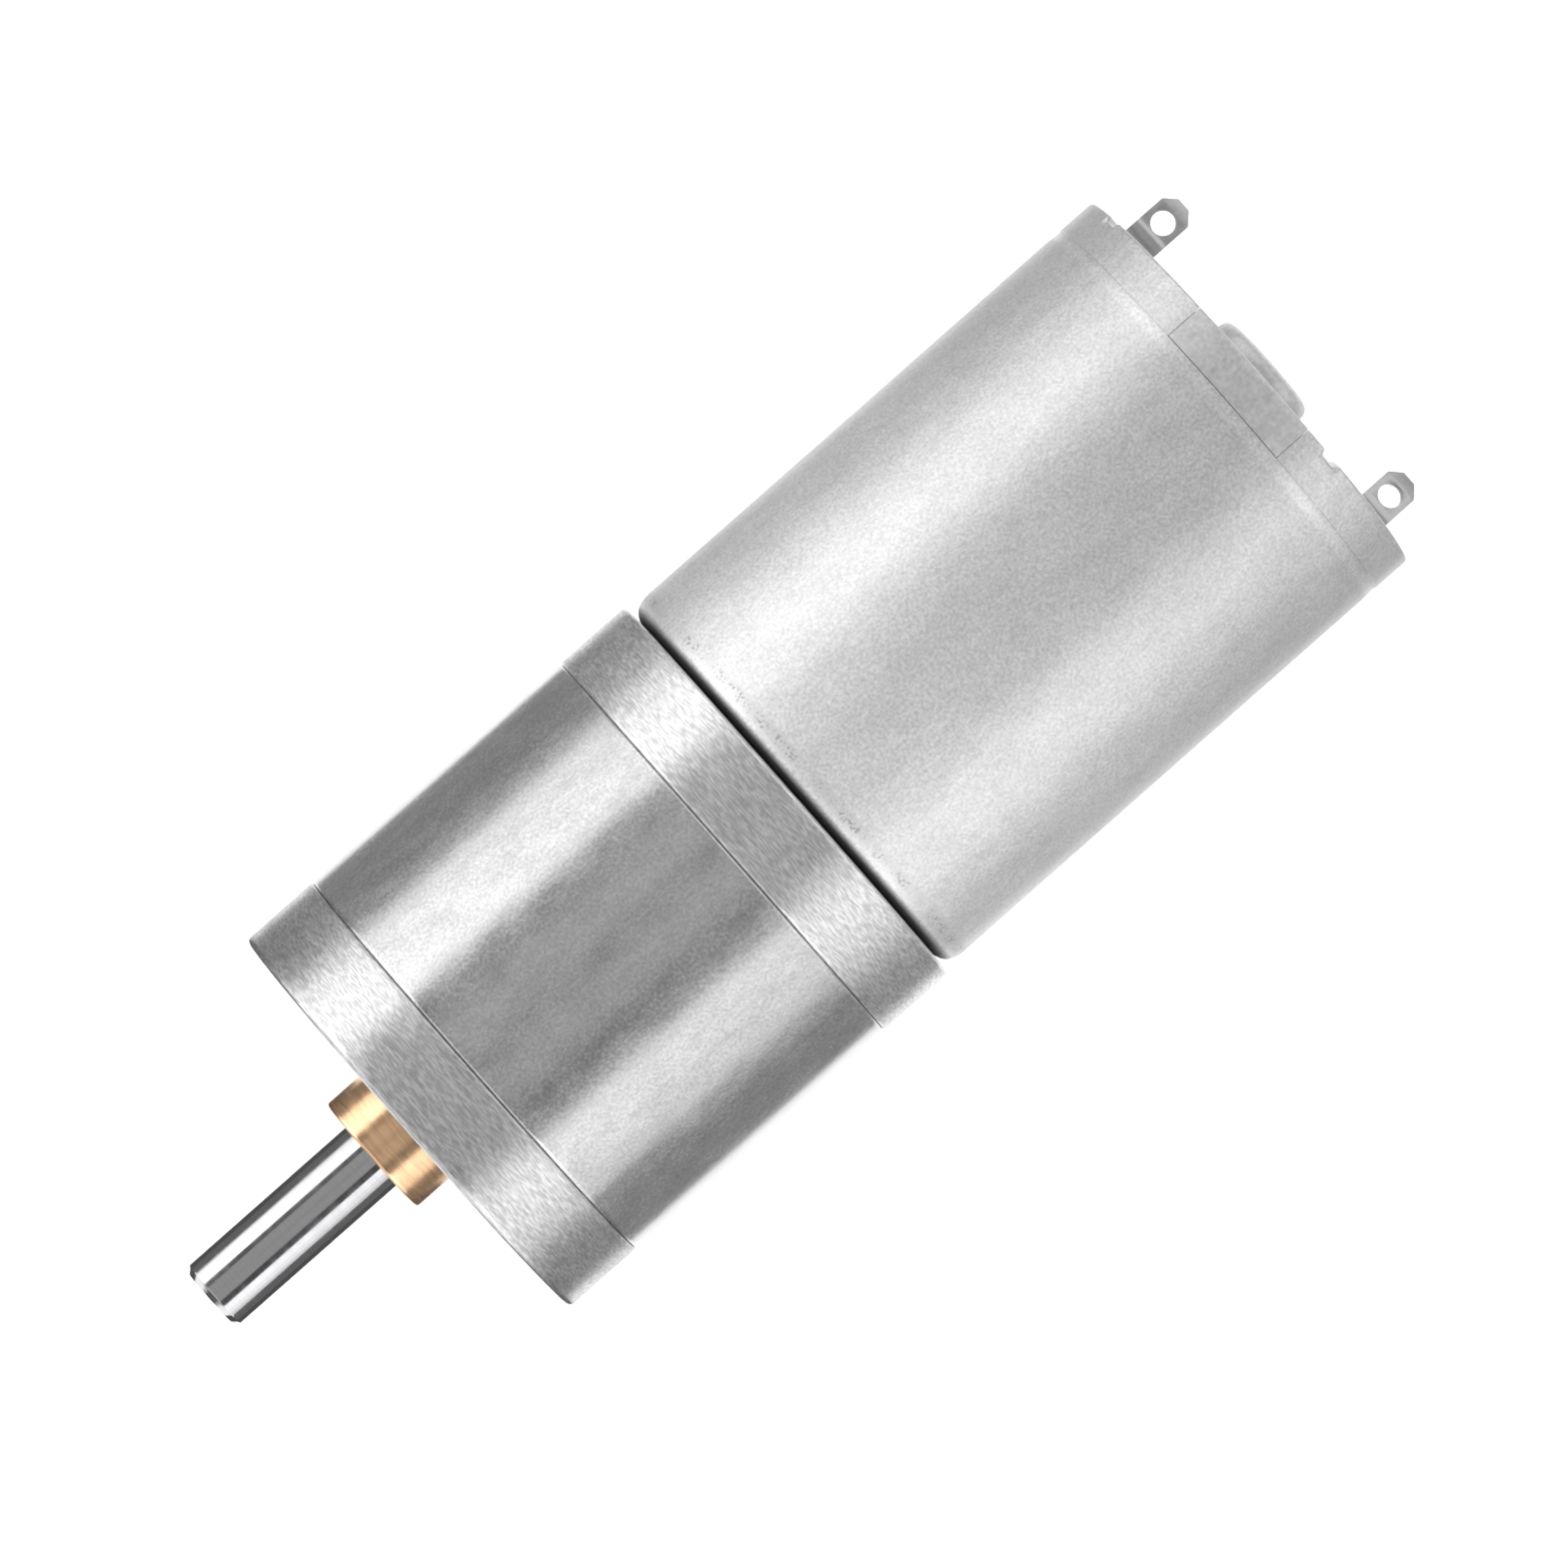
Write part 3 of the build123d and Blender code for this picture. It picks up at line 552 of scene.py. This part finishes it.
# Each material slot: how it is made, and its settings
LOOKS = {
    "turned_steel": (turned_steel, {
        "rear": neutral(0.69), "front": neutral(0.61), "rough": 0.33,
        "height": 0.012, "contrast": 0.24, "along": 13.0, "around": 1.8,
    }),
    "tube_steel": (grained_steel, {
        "colour": neutral(0.6), "rough": 0.22,
        "grain": 6.0, "height": 0.0024, "contrast": 0.17, "patch": 0.5,
    }),
    "can_steel": (drawn_steel, {
        "rear": neutral(0.585), "front": neutral(0.79), "rough": 0.43,
        "grain": 6.0, "height": 0.007, "contrast": 0.17,
    }),
    "cap_steel": (grained_steel, {
        "colour": neutral(0.61), "rough": 0.54,
        "grain": 4.0, "height": 0.003, "contrast": 0.12, "patch": 0.5,
    }),
    "bush_brass": (turned_steel, {
        "rear": (0.94, 0.6, 0.36), "front": (0.94, 0.6, 0.36), "rough": 0.2,
        "height": 0.0008, "contrast": 0.08, "along": 6.0, "around": 0.5,
    }),
    "polished_steel": (turned_steel, {
        "rear": (0.54, 0.54, 0.55), "front": (0.54, 0.54, 0.55), "rough": 0.09,
        "height": 0.0001, "contrast": 0.02, "along": 6.0, "around": 0.1,
    }),
    "terminal_tin": (grained_steel, {"colour": neutral(0.5), "rough": 0.36}),
    "fastener_steel": (grained_steel, {"colour": (0.5, 0.5, 0.52), "rough": 0.3}),
    "arbor_steel": (grained_steel, {"colour": (0.6, 0.6, 0.62), "rough": 0.2}),
    "gear_steel": (grained_steel, {"colour": neutral(0.42), "rough": 0.35}),
    "gear_brass": (grained_steel, {"colour": (0.78, 0.6, 0.32), "rough": 0.25}),
    "ferrite": (moulded, {"colour": (0.06, 0.06, 0.065), "rough": 0.6}),
    "bearing_bronze": (grained_steel, {"colour": (0.5, 0.35, 0.2), "rough": 0.45}),
    "holder_plastic": (moulded, {"colour": neutral(0.03), "rough": 0.5}),
    "core_steel": (grained_steel, {"colour": (0.3, 0.3, 0.32), "rough": 0.5}),
    "insulator_fibre": (moulded, {"colour": (0.2, 0.08, 0.05), "rough": 0.7}),
    "copper_wire": (grained_steel, {"colour": (0.7, 0.32, 0.14), "rough": 0.3}),
    "contact_copper": (grained_steel, {"colour": (0.8, 0.45, 0.28), "rough": 0.25}),
    "brush_carbon": (moulded, {"colour": neutral(0.03), "rough": 0.8}),
    "varistor_ceramic": (moulded, {"colour": (0.08, 0.1, 0.08), "rough": 0.6}),
}
MATERIALS = {name: make(name, **settings) for name, (make, settings) in LOOKS.items()}


def paint_cad_nodes():
    """Every CAD node gets the material of its slot."""
    for row in frame["record"]["subparts"]:
        mesh = frame["nodes"][row["node"]].data
        mesh.materials.clear()
        mesh.materials.append(MATERIALS[row["material_slot"]])


# Gearbox --------------------------------------------------------------------------


def thread_cutter(y):
    """A tapped hole's space: an M3 thread with a small countersink at the front face."""
    rear_x, front_x = FRONT_LOW.x - 1, FACE_X + 1
    rows = int((front_x - rear_x) / THREAD_PITCH * THREAD_ROWS)
    path = [Vector((rear_x, 0))]
    path += [Vector((rear_x + (front_x - rear_x) * row / rows, 1)) for row in range(rows + 1)]
    path.append(Vector((front_x, 0)))

    def helix(x, r, angle):
        turn = (x / THREAD_PITCH - angle / (2 * pi)) % 1
        radius = MOUNT_HOLE_R + (THREAD_R - MOUNT_HOLE_R) * (1 - abs(2 * turn - 1))
        sunk = THREAD_R + COUNTERSINK + x - FACE_X if x > FACE_X - COUNTERSINK_DEPTH else 0
        return x, max(radius, sunk)

    return shift(turned("thread", path, closed=False, segments=32, shape=helix), y=y)


def make_front_plate():
    corners = [
        (TUBE_FRONT_X - SPIGOT, BUSH_SEAT_R, 0),
        (TUBE_FRONT_X - SPIGOT, TUBE_INNER_R, 0.2),
        (TUBE_FRONT_X, TUBE_INNER_R, 0),
        (TUBE_FRONT_X, GEARBOX_R, SEAM_CHAMFER),
        (FACE_X, GEARBOX_R, 0.35),
        (FACE_X, BUSH_R, 0),
        (FACE_X - BUSH_RELIEF, BUSH_R, 0),
        (FACE_X - BUSH_RELIEF, BUSH_SEAT_R, 0),
    ]
    plate = turned("front_plate_turned", rounded_outline(corners))
    for side in (-1, 1):
        cut(plate, thread_cutter(side * MOUNT_SPACING / 2))
    stands_for(plate, "front_plate", "housing", "turned_steel")


def make_tube():
    corners = [
        (TUBE_REAR_X, TUBE_INNER_R, 0.1),
        (TUBE_REAR_X, GEARBOX_R, SEAM_CHAMFER),
        (TUBE_FRONT_X, GEARBOX_R, SEAM_CHAMFER),
        (TUBE_FRONT_X, TUBE_INNER_R, 0.1),
    ]
    tube = turned("gearbox_tube_drawn", rounded_outline(corners))
    stands_for(tube, "gearbox_tube", "housing", "tube_steel")


def make_rear_plate():
    corners = [
        (MOTOR_X, CAN_BOSS_R, 0),
        (MOTOR_X, GEARBOX_R, 0.3),
        (TUBE_REAR_X, GEARBOX_R, SEAM_CHAMFER),
        (TUBE_REAR_X, TUBE_INNER_R, 0),
        (TUBE_REAR_X + SPIGOT, TUBE_INNER_R, 0.2),
        (TUBE_REAR_X + SPIGOT, CAN_BOSS_R, 0),
    ]
    plate = turned("rear_plate_turned", rounded_outline(corners))
    stands_for(plate, "rear_plate", "housing", "turned_steel")


def make_bush():
    bore_r = SHAFT_R + RUNNING_GAP
    corners = [
        (BUSH_LOW.x, bore_r, 0),
        (BUSH_LOW.x, BUSH_SEAT_R, 0),
        (FACE_X, BUSH_SEAT_R, 0),
        (FACE_X, BUSH_R, 0),
        (BUSH_HIGH.x, BUSH_R, 0.2),
        (BUSH_HIGH.x, bore_r, 0.12),
    ]
    bush = turned("output_bush_turned", rounded_outline(corners), segments=128)
    stands_for(bush, "output_bush", "housing", "bush_brass")


def make_shaft():
    groove_low, groove_high = SHAFT_GROOVE_X
    corners = [
        (SHAFT_LOW.x, 0, 0),
        (SHAFT_LOW.x, SHAFT_R, 0.05),
        (groove_low, SHAFT_R, 0),
        (groove_low, SHAFT_GROOVE_R, 0),
        (groove_high, SHAFT_GROOVE_R, 0),
        (groove_high, SHAFT_R, 0),
        (SHAFT_HIGH.x - TIP_CHAMFER_LENGTH, SHAFT_R, 0.1),
        (SHAFT_HIGH.x, SHAFT_R - TIP_CHAMFER_DEPTH, 0.08),
        (SHAFT_HIGH.x, 0, 0),
    ]
    path = rounded_outline(corners, closed=False)
    shaft = turned("output_shaft_ground", path, closed=False, segments=128)
    low = (SHAFT_HIGH.x - FLAT_LENGTH, -SHAFT_R - 1, -SHAFT_R - 1)
    high = (SHAFT_HIGH.x + 1, SHAFT_R + 1, -SHAFT_R + FLAT_DEPTH)
    cut(shaft, rounded_block("flat", low, high))
    stands_for(shaft, "output_shaft", "output", "polished_steel")


# Motor ----------------------------------------------------------------------------


def stake_amount(angle):
    """How much a point at an angle round the rim belongs to a stake, from 0 to 1."""
    best = 0.0
    for stake in STAKE_ANGLES:
        off = (angle - radians(stake) + pi) % (2 * pi) - pi
        best = max(best, 1 - smooth_step(abs(off) * CAN_R, STAKE_FLAT, STAKE_EDGE))
    return best


def staked(x, r, angle):
    """The can's points, pushed forward and inward at the stakes."""
    amount = stake_amount(angle)
    near = 1 - smooth_step(x - RIM_X, 0.0, STAKE_LENGTH)
    if amount <= 0 or near <= 0:
        return x, r
    push = amount * near
    inside = r < CAN_INNER_R + CAN_WALL / 2
    push_x, push_r = STAKE_PUSH_INSIDE if inside else STAKE_PUSH_OUTSIDE
    return x + push * push_x, r - push * push_r


def make_can():
    corners = [
        (RIM_X, CAN_INNER_R, 0.1),
        (RIM_X, CAN_R, RIM_EDGE_R),
        (GROOVE_X - GROOVE_STEP, CAN_R, 0),
        (GROOVE_X, CAN_R - GROOVE_DEPTH, 0),
        (GROOVE_X + GROOVE_RUNOUT, CAN_R, 0.3),
        (MOTOR_X, CAN_R, CAN_CORNER_R),
        (MOTOR_X, CAN_BOSS_R, 0.15),
        (CAN_HIGH.x, CAN_BOSS_R, 0.2),
        (CAN_HIGH.x, BEARING_R, 0.1),
        (MOTOR_X - CAN_WALL, BEARING_R, 0),
        (MOTOR_X - CAN_WALL, CAN_INNER_R, 0.4),
    ]
    path = refine(rounded_outline(corners, steps=8), RIM_X - 0.01, GROOVE_X, STAKE_STEP)
    can = turned("motor_can_drawn", path, segments=720, shape=staked)
    low = (RIM_X - 1, WINDOW_LOW_Y, CAN_INNER_R / 2)
    high = (GROOVE_X, WINDOW_HIGH_Y, CAN_R + 1)
    for side in (0, 1):
        window = rounded_block("window", low, high)
        window.data.transform(Matrix.Rotation(pi * side, 4, "X"))
        cut(can, window)
    stands_for(can, "motor_can", "housing", "can_steel")


def ribbed(x, r, angle):
    """A tab's points, with a shallow channel along its outside."""
    rib = 1 - smooth_step(abs(r * cos(angle) - TAB_RIB_Y), TAB_RIB_FLAT, TAB_RIB_EDGE)
    outside = r > CAN_INNER_R and x > RIM_X + CAP_RECESS
    return x, r - (TAB_RIB * rib if outside else 0)


def make_tab(turn):
    """A tab of the end cap that fills a window of the can, turned to it in degrees."""
    tab_r = CAN_R - TAB_DROP
    foot_r = CAN_INNER_R - TAB_FOOT
    foot_x = RIM_X + CAP_RECESS + CAP_T
    front_x = GROOVE_X - TAB_END_GAP
    corners = [
        (foot_x, foot_r, 0),
        (foot_x, CAN_INNER_R - 0.02, 0.02),
        (front_x, CAN_INNER_R, 0.02),
        (front_x, tab_r, 0.05),
        (RIM_X, tab_r, RIM_EDGE_R),
        (RIM_X, foot_r, 0.1),
    ]
    path = refine(rounded_outline(corners), RIM_X, front_x, TAB_STEP)
    first = turn + 90 - degrees(asin((WINDOW_HIGH_Y - TAB_SIDE_GAP) / tab_r))
    last = turn + 90 - degrees(asin((WINDOW_LOW_Y + TAB_SIDE_GAP) / tab_r))
    return turned("tab", path, segments=90, first=first, last=last, shape=ribbed)


def make_cap():
    rear_x = RIM_X + CAP_RECESS
    front_x = rear_x + CAP_T
    corners = [
        (front_x, BEARING_R, 0),
        (front_x, CAN_INNER_R, 0.1),
        (rear_x, CAN_INNER_R, 0.15),
        (rear_x, CUP_R, 0.2),
        (CAP_TOP_X, CUP_R, CUP_EDGE_R),
        (CAP_TOP_X, 0, 0),
    ]
    path = rounded_outline(corners, closed=False, steps=8)
    path += [Vector((CAP_TOP_X + CAP_T, 0)), Vector((CAP_TOP_X + CAP_T, BEARING_R))]
    disc = turned("cap_disc", path)
    for y in TERMINAL_Y.values():
        low = (rear_x - 1, y - OPENING_HALF_Y, -OPENING_HALF_Z)
        high = (front_x + 1, y + OPENING_HALF_Y, OPENING_HALF_Z)
        cut(disc, rounded_block("opening", low, high, OPENING_CORNER_R))
    cap = join("end_cap_stamped", [disc, make_tab(0), make_tab(180)])
    stands_for(cap, "end_cap", "housing", "cap_steel")


def make_terminal(name):
    """A stamped blade with a hole, a clipped tip and softly rounded edges. It is made flat,
    from its foot along +X, and then pressed, bent and put in its place."""
    low, high = BLADE_SPANS[name]
    tilt = radians(TERMINAL_TILT[name])
    fold = high.x - TERMINAL_BEND_X
    tip = fold + (TERMINAL_BEND_X - low.x - sin(tilt) * TERMINAL_T / 2) / cos(tilt)
    stations = [0, fold - 0.5] + [fold + BLADE_STEP * step for step in range(-3, 11)]
    stations += [tip - TIP_CLIP, tip]
    sections = []
    for along in stations:
        half = TERMINAL_WIDTH / 2 - (TIP_CLIP if along == tip else 0)
        top = TERMINAL_T / 2
        corners = [(half, top), (-half, top), (-half, -top), (half, -top)]
        sections.append([(along, y, z) for y, z in corners])
    blade = skinned("terminal_" + name + "_stamped", sections)
    outline = [(-1, 0), (-1, TERMINAL_HOLE_R), (1, TERMINAL_HOLE_R), (1, 0)]
    outline = [Vector(point) for point in outline]
    hole = turned("hole", outline, closed=False, segments=40)
    hole.data.transform(Matrix.Rotation(pi / 2, 4, "Y"))
    cut(blade, shift(hole, x=tip - HOLE_FROM_TIP[name] / cos(tilt)))
    bevel = blade.modifiers.new("edges", "BEVEL")
    bevel.width = BLADE_BEVEL * MM
    bevel.segments = 2
    bevel.angle_limit = radians(BLADE_SHARP_ANGLE)
    apply_modifiers(blade)
    for vertex in blade.data.vertices:
        along, across, up = vertex.co / MM
        past = along - fold
        pressed = smooth_step(past, *RIDGE_RISE) - smooth_step(past, *RIDGE_FALL)
        up += TERMINAL_RIDGE[name] * pressed
        turn = tilt * smooth_step(past, -BEND_HALF, BEND_HALF)
        x = TERMINAL_BEND_X - past * cos(turn) - up * sin(turn)
        z = up * cos(turn) - past * sin(turn)
        vertex.co = Vector((x, TERMINAL_Y[name] + across, z)) * MM
    blade.data.flip_normals()
    smooth(blade, BLADE_SHARP_ANGLE)
    stands_for(blade, "terminal_" + name, "housing", "terminal_tin")


# Room -----------------------------------------------------------------------------

# The room's middle in X, half the floor's side, and how much the white surfaces glow
ROOM_X = -24
FLOOR_HALF = 3000
FLOOR_GLOW = 0.45
FLOOR_DIFFUSE = 0.85
WALL_GLOW = 0.9
MATT = 0.9
WORLD_STRENGTH = 0.54


def glow_material(name, strength, diffuse=0.0):
    material = bpy.data.materials.new(name)
    material.use_nodes = True
    inputs = material.node_tree.nodes["Principled BSDF"].inputs
    inputs["Base Color"].default_value = (diffuse, diffuse, diffuse, 1)
    inputs["Roughness"].default_value = MATT
    inputs["Specular IOR Level"].default_value = 0.0
    inputs["Emission Color"].default_value = (1, 1, 1, 1)
    inputs["Emission Strength"].default_value = strength
    return material


def plane(name, centre, size, facing, material):
    """A flat rectangle for the floor, a wall, a panel or a flag."""
    mesh = bpy.data.meshes.new(name)
    half_x, half_y = size[0] / 2 * MM, size[1] / 2 * MM
    corners = [(-half_x, -half_y), (half_x, -half_y), (half_x, half_y), (-half_x, half_y)]
    mesh.from_pydata([(x, y, 0) for x, y in corners], [], [(0, 1, 2, 3)])
    mesh.materials.append(material)
    piece = bpy.data.objects.new(name, mesh)
    piece.location = Vector(centre) * MM
    piece.rotation_mode = "QUATERNION"
    piece.rotation_quaternion = Vector(facing).to_track_quat("Z", "Y")
    bpy.context.scene.collection.objects.link(piece)
    return piece


def make_floor():
    size = (2 * FLOOR_HALF, 2 * FLOOR_HALF)
    material = glow_material("floor_white", FLOOR_GLOW, FLOOR_DIFFUSE)
    plane("floor", (ROOM_X, 0, FLOOR_Z), size, (0, 0, 1), material)


def make_backdrop():
    """White walls at the floor's edges, which only the camera sees."""
    size = (2 * FLOOR_HALF, 2 * FLOOR_HALF)
    for x, y in ((1, 0), (-1, 0), (0, 1), (0, -1)):
        centre = (ROOM_X + x * FLOOR_HALF, y * FLOOR_HALF, FLOOR_Z + FLOOR_HALF)
        material = glow_material("backdrop_white", WALL_GLOW)
        wall = plane("backdrop", centre, size, (-x, -y, 0), material)
        for kind in ("diffuse", "glossy", "transmission", "shadow"):
            setattr(wall, "visible_" + kind, False)


# Lights ---------------------------------------------------------------------------

# The ends in X of the side lights' five stretches: behind the motor, beside it, beside the
# gearbox, beside the shaft, and beyond
LIGHT_ENDS = (-374, -95, -41, 12, 90, 326)
SIDE_DISTANCE = 300
OVERHEAD_Z = 500
TOP_RADIANCE = 2.2

# Each side strip: its side in Y, its two angles from straight up, and its radiance in each
# stretch
SIDE_STRIPS = [
    (-1, 43.5, 66, (1.2, 0.67, 0.82, 1.8, 2.4)),
    (-1, 66, 78, (1.05, 0.57, 0.74, 1.6, 1.8)),
    (-1, 78, 87, (0.62, 0.54, 0.7, 1.2, 1.2)),
    (1, 46.5, 66, (1.05, 0.43, 0.61, 1.3, 2.2)),
    (1, 66, 79, (0.8, 0.37, 0.49, 1.05, 1.4)),
    (1, 79, 88.5, (0.46, 0.4, 0.4, 0.7, 0.7)),
]

# Each overhead stripe: its two angles from straight up, its two ends in X, and its radiance
OVERHEAD_STRIPES = [
    (-37, -25, -43, 12, 0.46),
    (-5, 5, -43, 12, 0.32),
    (22, 36, -43, 12, 0.31),
    (-42, -28, 12, 326, 0.16),
    (-28, 27, 12, 326, 0.46),
    (27, 45, 12, 326, 0.1),
    (-38, 38, -55, -43, 0.87),
    (-38, 38, -72, -55, 0.47),
    (-38, 38, -374, -72, 0.43),
]

# Flags just above the floor that tone down its reflection. Each: its name, its two ends in
# X, how far out it starts on the -Y and on the +Y side, where it stops, and its radiance
FLAG_HEIGHT = 0.3
FLOOR_FLAGS = [
    ("near_flag", -34, 1, (19, 22), 90, 0.32),
    ("far_flag", -34, 1, (90, 90), 600, 0.46),
    ("motor_near_flag", -626, -34, (19, 19), 90, 0.54),
    ("motor_far_flag", -626, -34, (90, 90), 600, 0.66),
    ("front_flag", 1, 37, (7, 7), 22, 0.12),
    ("shaft_flag", 1, 37, (22, 22), 622, 0.2),
]

# Panels before and behind the gearmotor: name, middle, size, facing and radiance
END_PANELS = [
    ("front_low_flag", (280, 0, 25), (110, 74), (-1, 0, 0), 0.15),
    ("front_panel", (280, 0, 330), (500, 200), (-1, 0, -1), 1.1),
    ("rear_panel", (-330, 0, 330), (500, 160), (1, 0, -1), 1.4),
]


def softbox(name, centre, size, target, radiance, seen=True):
    """A rectangular soft light whose face has an even brightness."""
    light = bpy.data.lights.new(name, "AREA")
    light.shape = "RECTANGLE"
    light.size, light.size_y = size[0] * MM, size[1] * MM
    light.energy = radiance * pi * light.size * light.size_y
    lamp = bpy.data.objects.new(name, light)
    lamp.location = Vector(centre) * MM
    lamp.rotation_mode = "QUATERNION"
    lamp.rotation_quaternion = (Vector(centre) - Vector(target)).to_track_quat("Z", "Y")
    lamp.visible_glossy = seen
    bpy.context.scene.collection.objects.link(lamp)


def side_strip(side, from_angle, to_angle, radiance, low_x, high_x):
    """Part of a tall soft light beside the gearmotor, between two angles from straight up."""
    high = SIDE_DISTANCE / tan(radians(from_angle))
    low = SIDE_DISTANCE / tan(radians(to_angle))
    centre = ((low_x + high_x) / 2, side * SIDE_DISTANCE, (low + high) / 2)
    target = (centre[0], 0, centre[2])
    softbox("side_light", centre, (high_x - low_x, high - low), target, radiance)


def panel(name, centre, size, facing, radiance):
    """A glowing or dim surface that shows only in reflections."""
    piece = plane(name, centre, size, facing, glow_material(name + "_grey", radiance))
    for kind in ("camera", "diffuse", "shadow", "transmission"):
        setattr(piece, "visible_" + kind, False)


def overhead_stripe(from_angle, to_angle, low_x, high_x, radiance):
    first, last = (OVERHEAD_Z * tan(radians(angle)) for angle in (from_angle, to_angle))
    centre = ((low_x + high_x) / 2, (first + last) / 2, OVERHEAD_Z)
    panel("overhead_stripe", centre, (high_x - low_x, last - first), (0, 0, 1), radiance)


def make_lights():
    for side, from_angle, to_angle, radiances in SIDE_STRIPS:
        for radiance, low_x, high_x in zip(radiances, LIGHT_ENDS, LIGHT_ENDS[1:]):
            side_strip(side, from_angle, to_angle, radiance, low_x, high_x)
    for stripe in OVERHEAD_STRIPES:
        overhead_stripe(*stripe)
    softbox("top_light", (ROOM_X, 0, 900), (900, 900), (ROOM_X, 0, 0), TOP_RADIANCE, seen=False)
    for index, side in enumerate((-1, 1)):
        for name, low_x, high_x, starts, stop, radiance in FLOOR_FLAGS:
            start = starts[index]
            centre = ((low_x + high_x) / 2, side * (start + stop) / 2, FLOOR_Z + FLAG_HEIGHT)
            panel(name, centre, (high_x - low_x, stop - start), (0, 0, 1), radiance)
    for row in END_PANELS:
        panel(*row)
    world = bpy.data.worlds.new("room")
    world.use_nodes = True
    background = world.node_tree.nodes["Background"]
    background.inputs["Color"].default_value = (1, 1, 1, 1)
    background.inputs["Strength"].default_value = WORLD_STRENGTH
    bpy.context.scene.world = world


# Camera ---------------------------------------------------------------------------

# The eye and the point that it looks at, and the way round the vertical, in degrees, that the
# picture's right side points
SENSOR_WIDTH = 36
FOCAL_LENGTH = 302.8
EYE = (-18.8, 0, 675)
AIM = (-25.9, -0.31, 0)
ROLL = 138.58
CLIP_NEAR, CLIP_FAR = 0.01, 20


def make_camera():
    """Straight above the gearmotor, a long way up, with the shaft to the lower left."""
    camera = bpy.data.cameras.new("camera")
    camera.sensor_width = SENSOR_WIDTH
    camera.lens = FOCAL_LENGTH
    camera.clip_start, camera.clip_end = CLIP_NEAR, CLIP_FAR
    back = (Vector(EYE) - Vector(AIM)).normalized()
    level = Vector((cos(radians(ROLL)), sin(radians(ROLL)), 0))
    up = back.cross(level).normalized()
    right = up.cross(back)
    turn = Matrix((right, up, back)).transposed().to_4x4()
    holder = bpy.data.objects.new("camera", camera)
    holder.matrix_world = Matrix.Translation(Vector(EYE) * MM) @ turn
    bpy.context.scene.collection.objects.link(holder)
    bpy.context.scene.camera = holder


paint_cad_nodes()
make_front_plate()
make_tube()
make_rear_plate()
make_bush()
make_shaft()
make_can()
make_cap()
for terminal_name in TERMINAL_Y:
    make_terminal(terminal_name)
make_floor()
make_backdrop()
make_lights()
make_camera()
bpy.context.scene.view_settings.view_transform = "Standard"
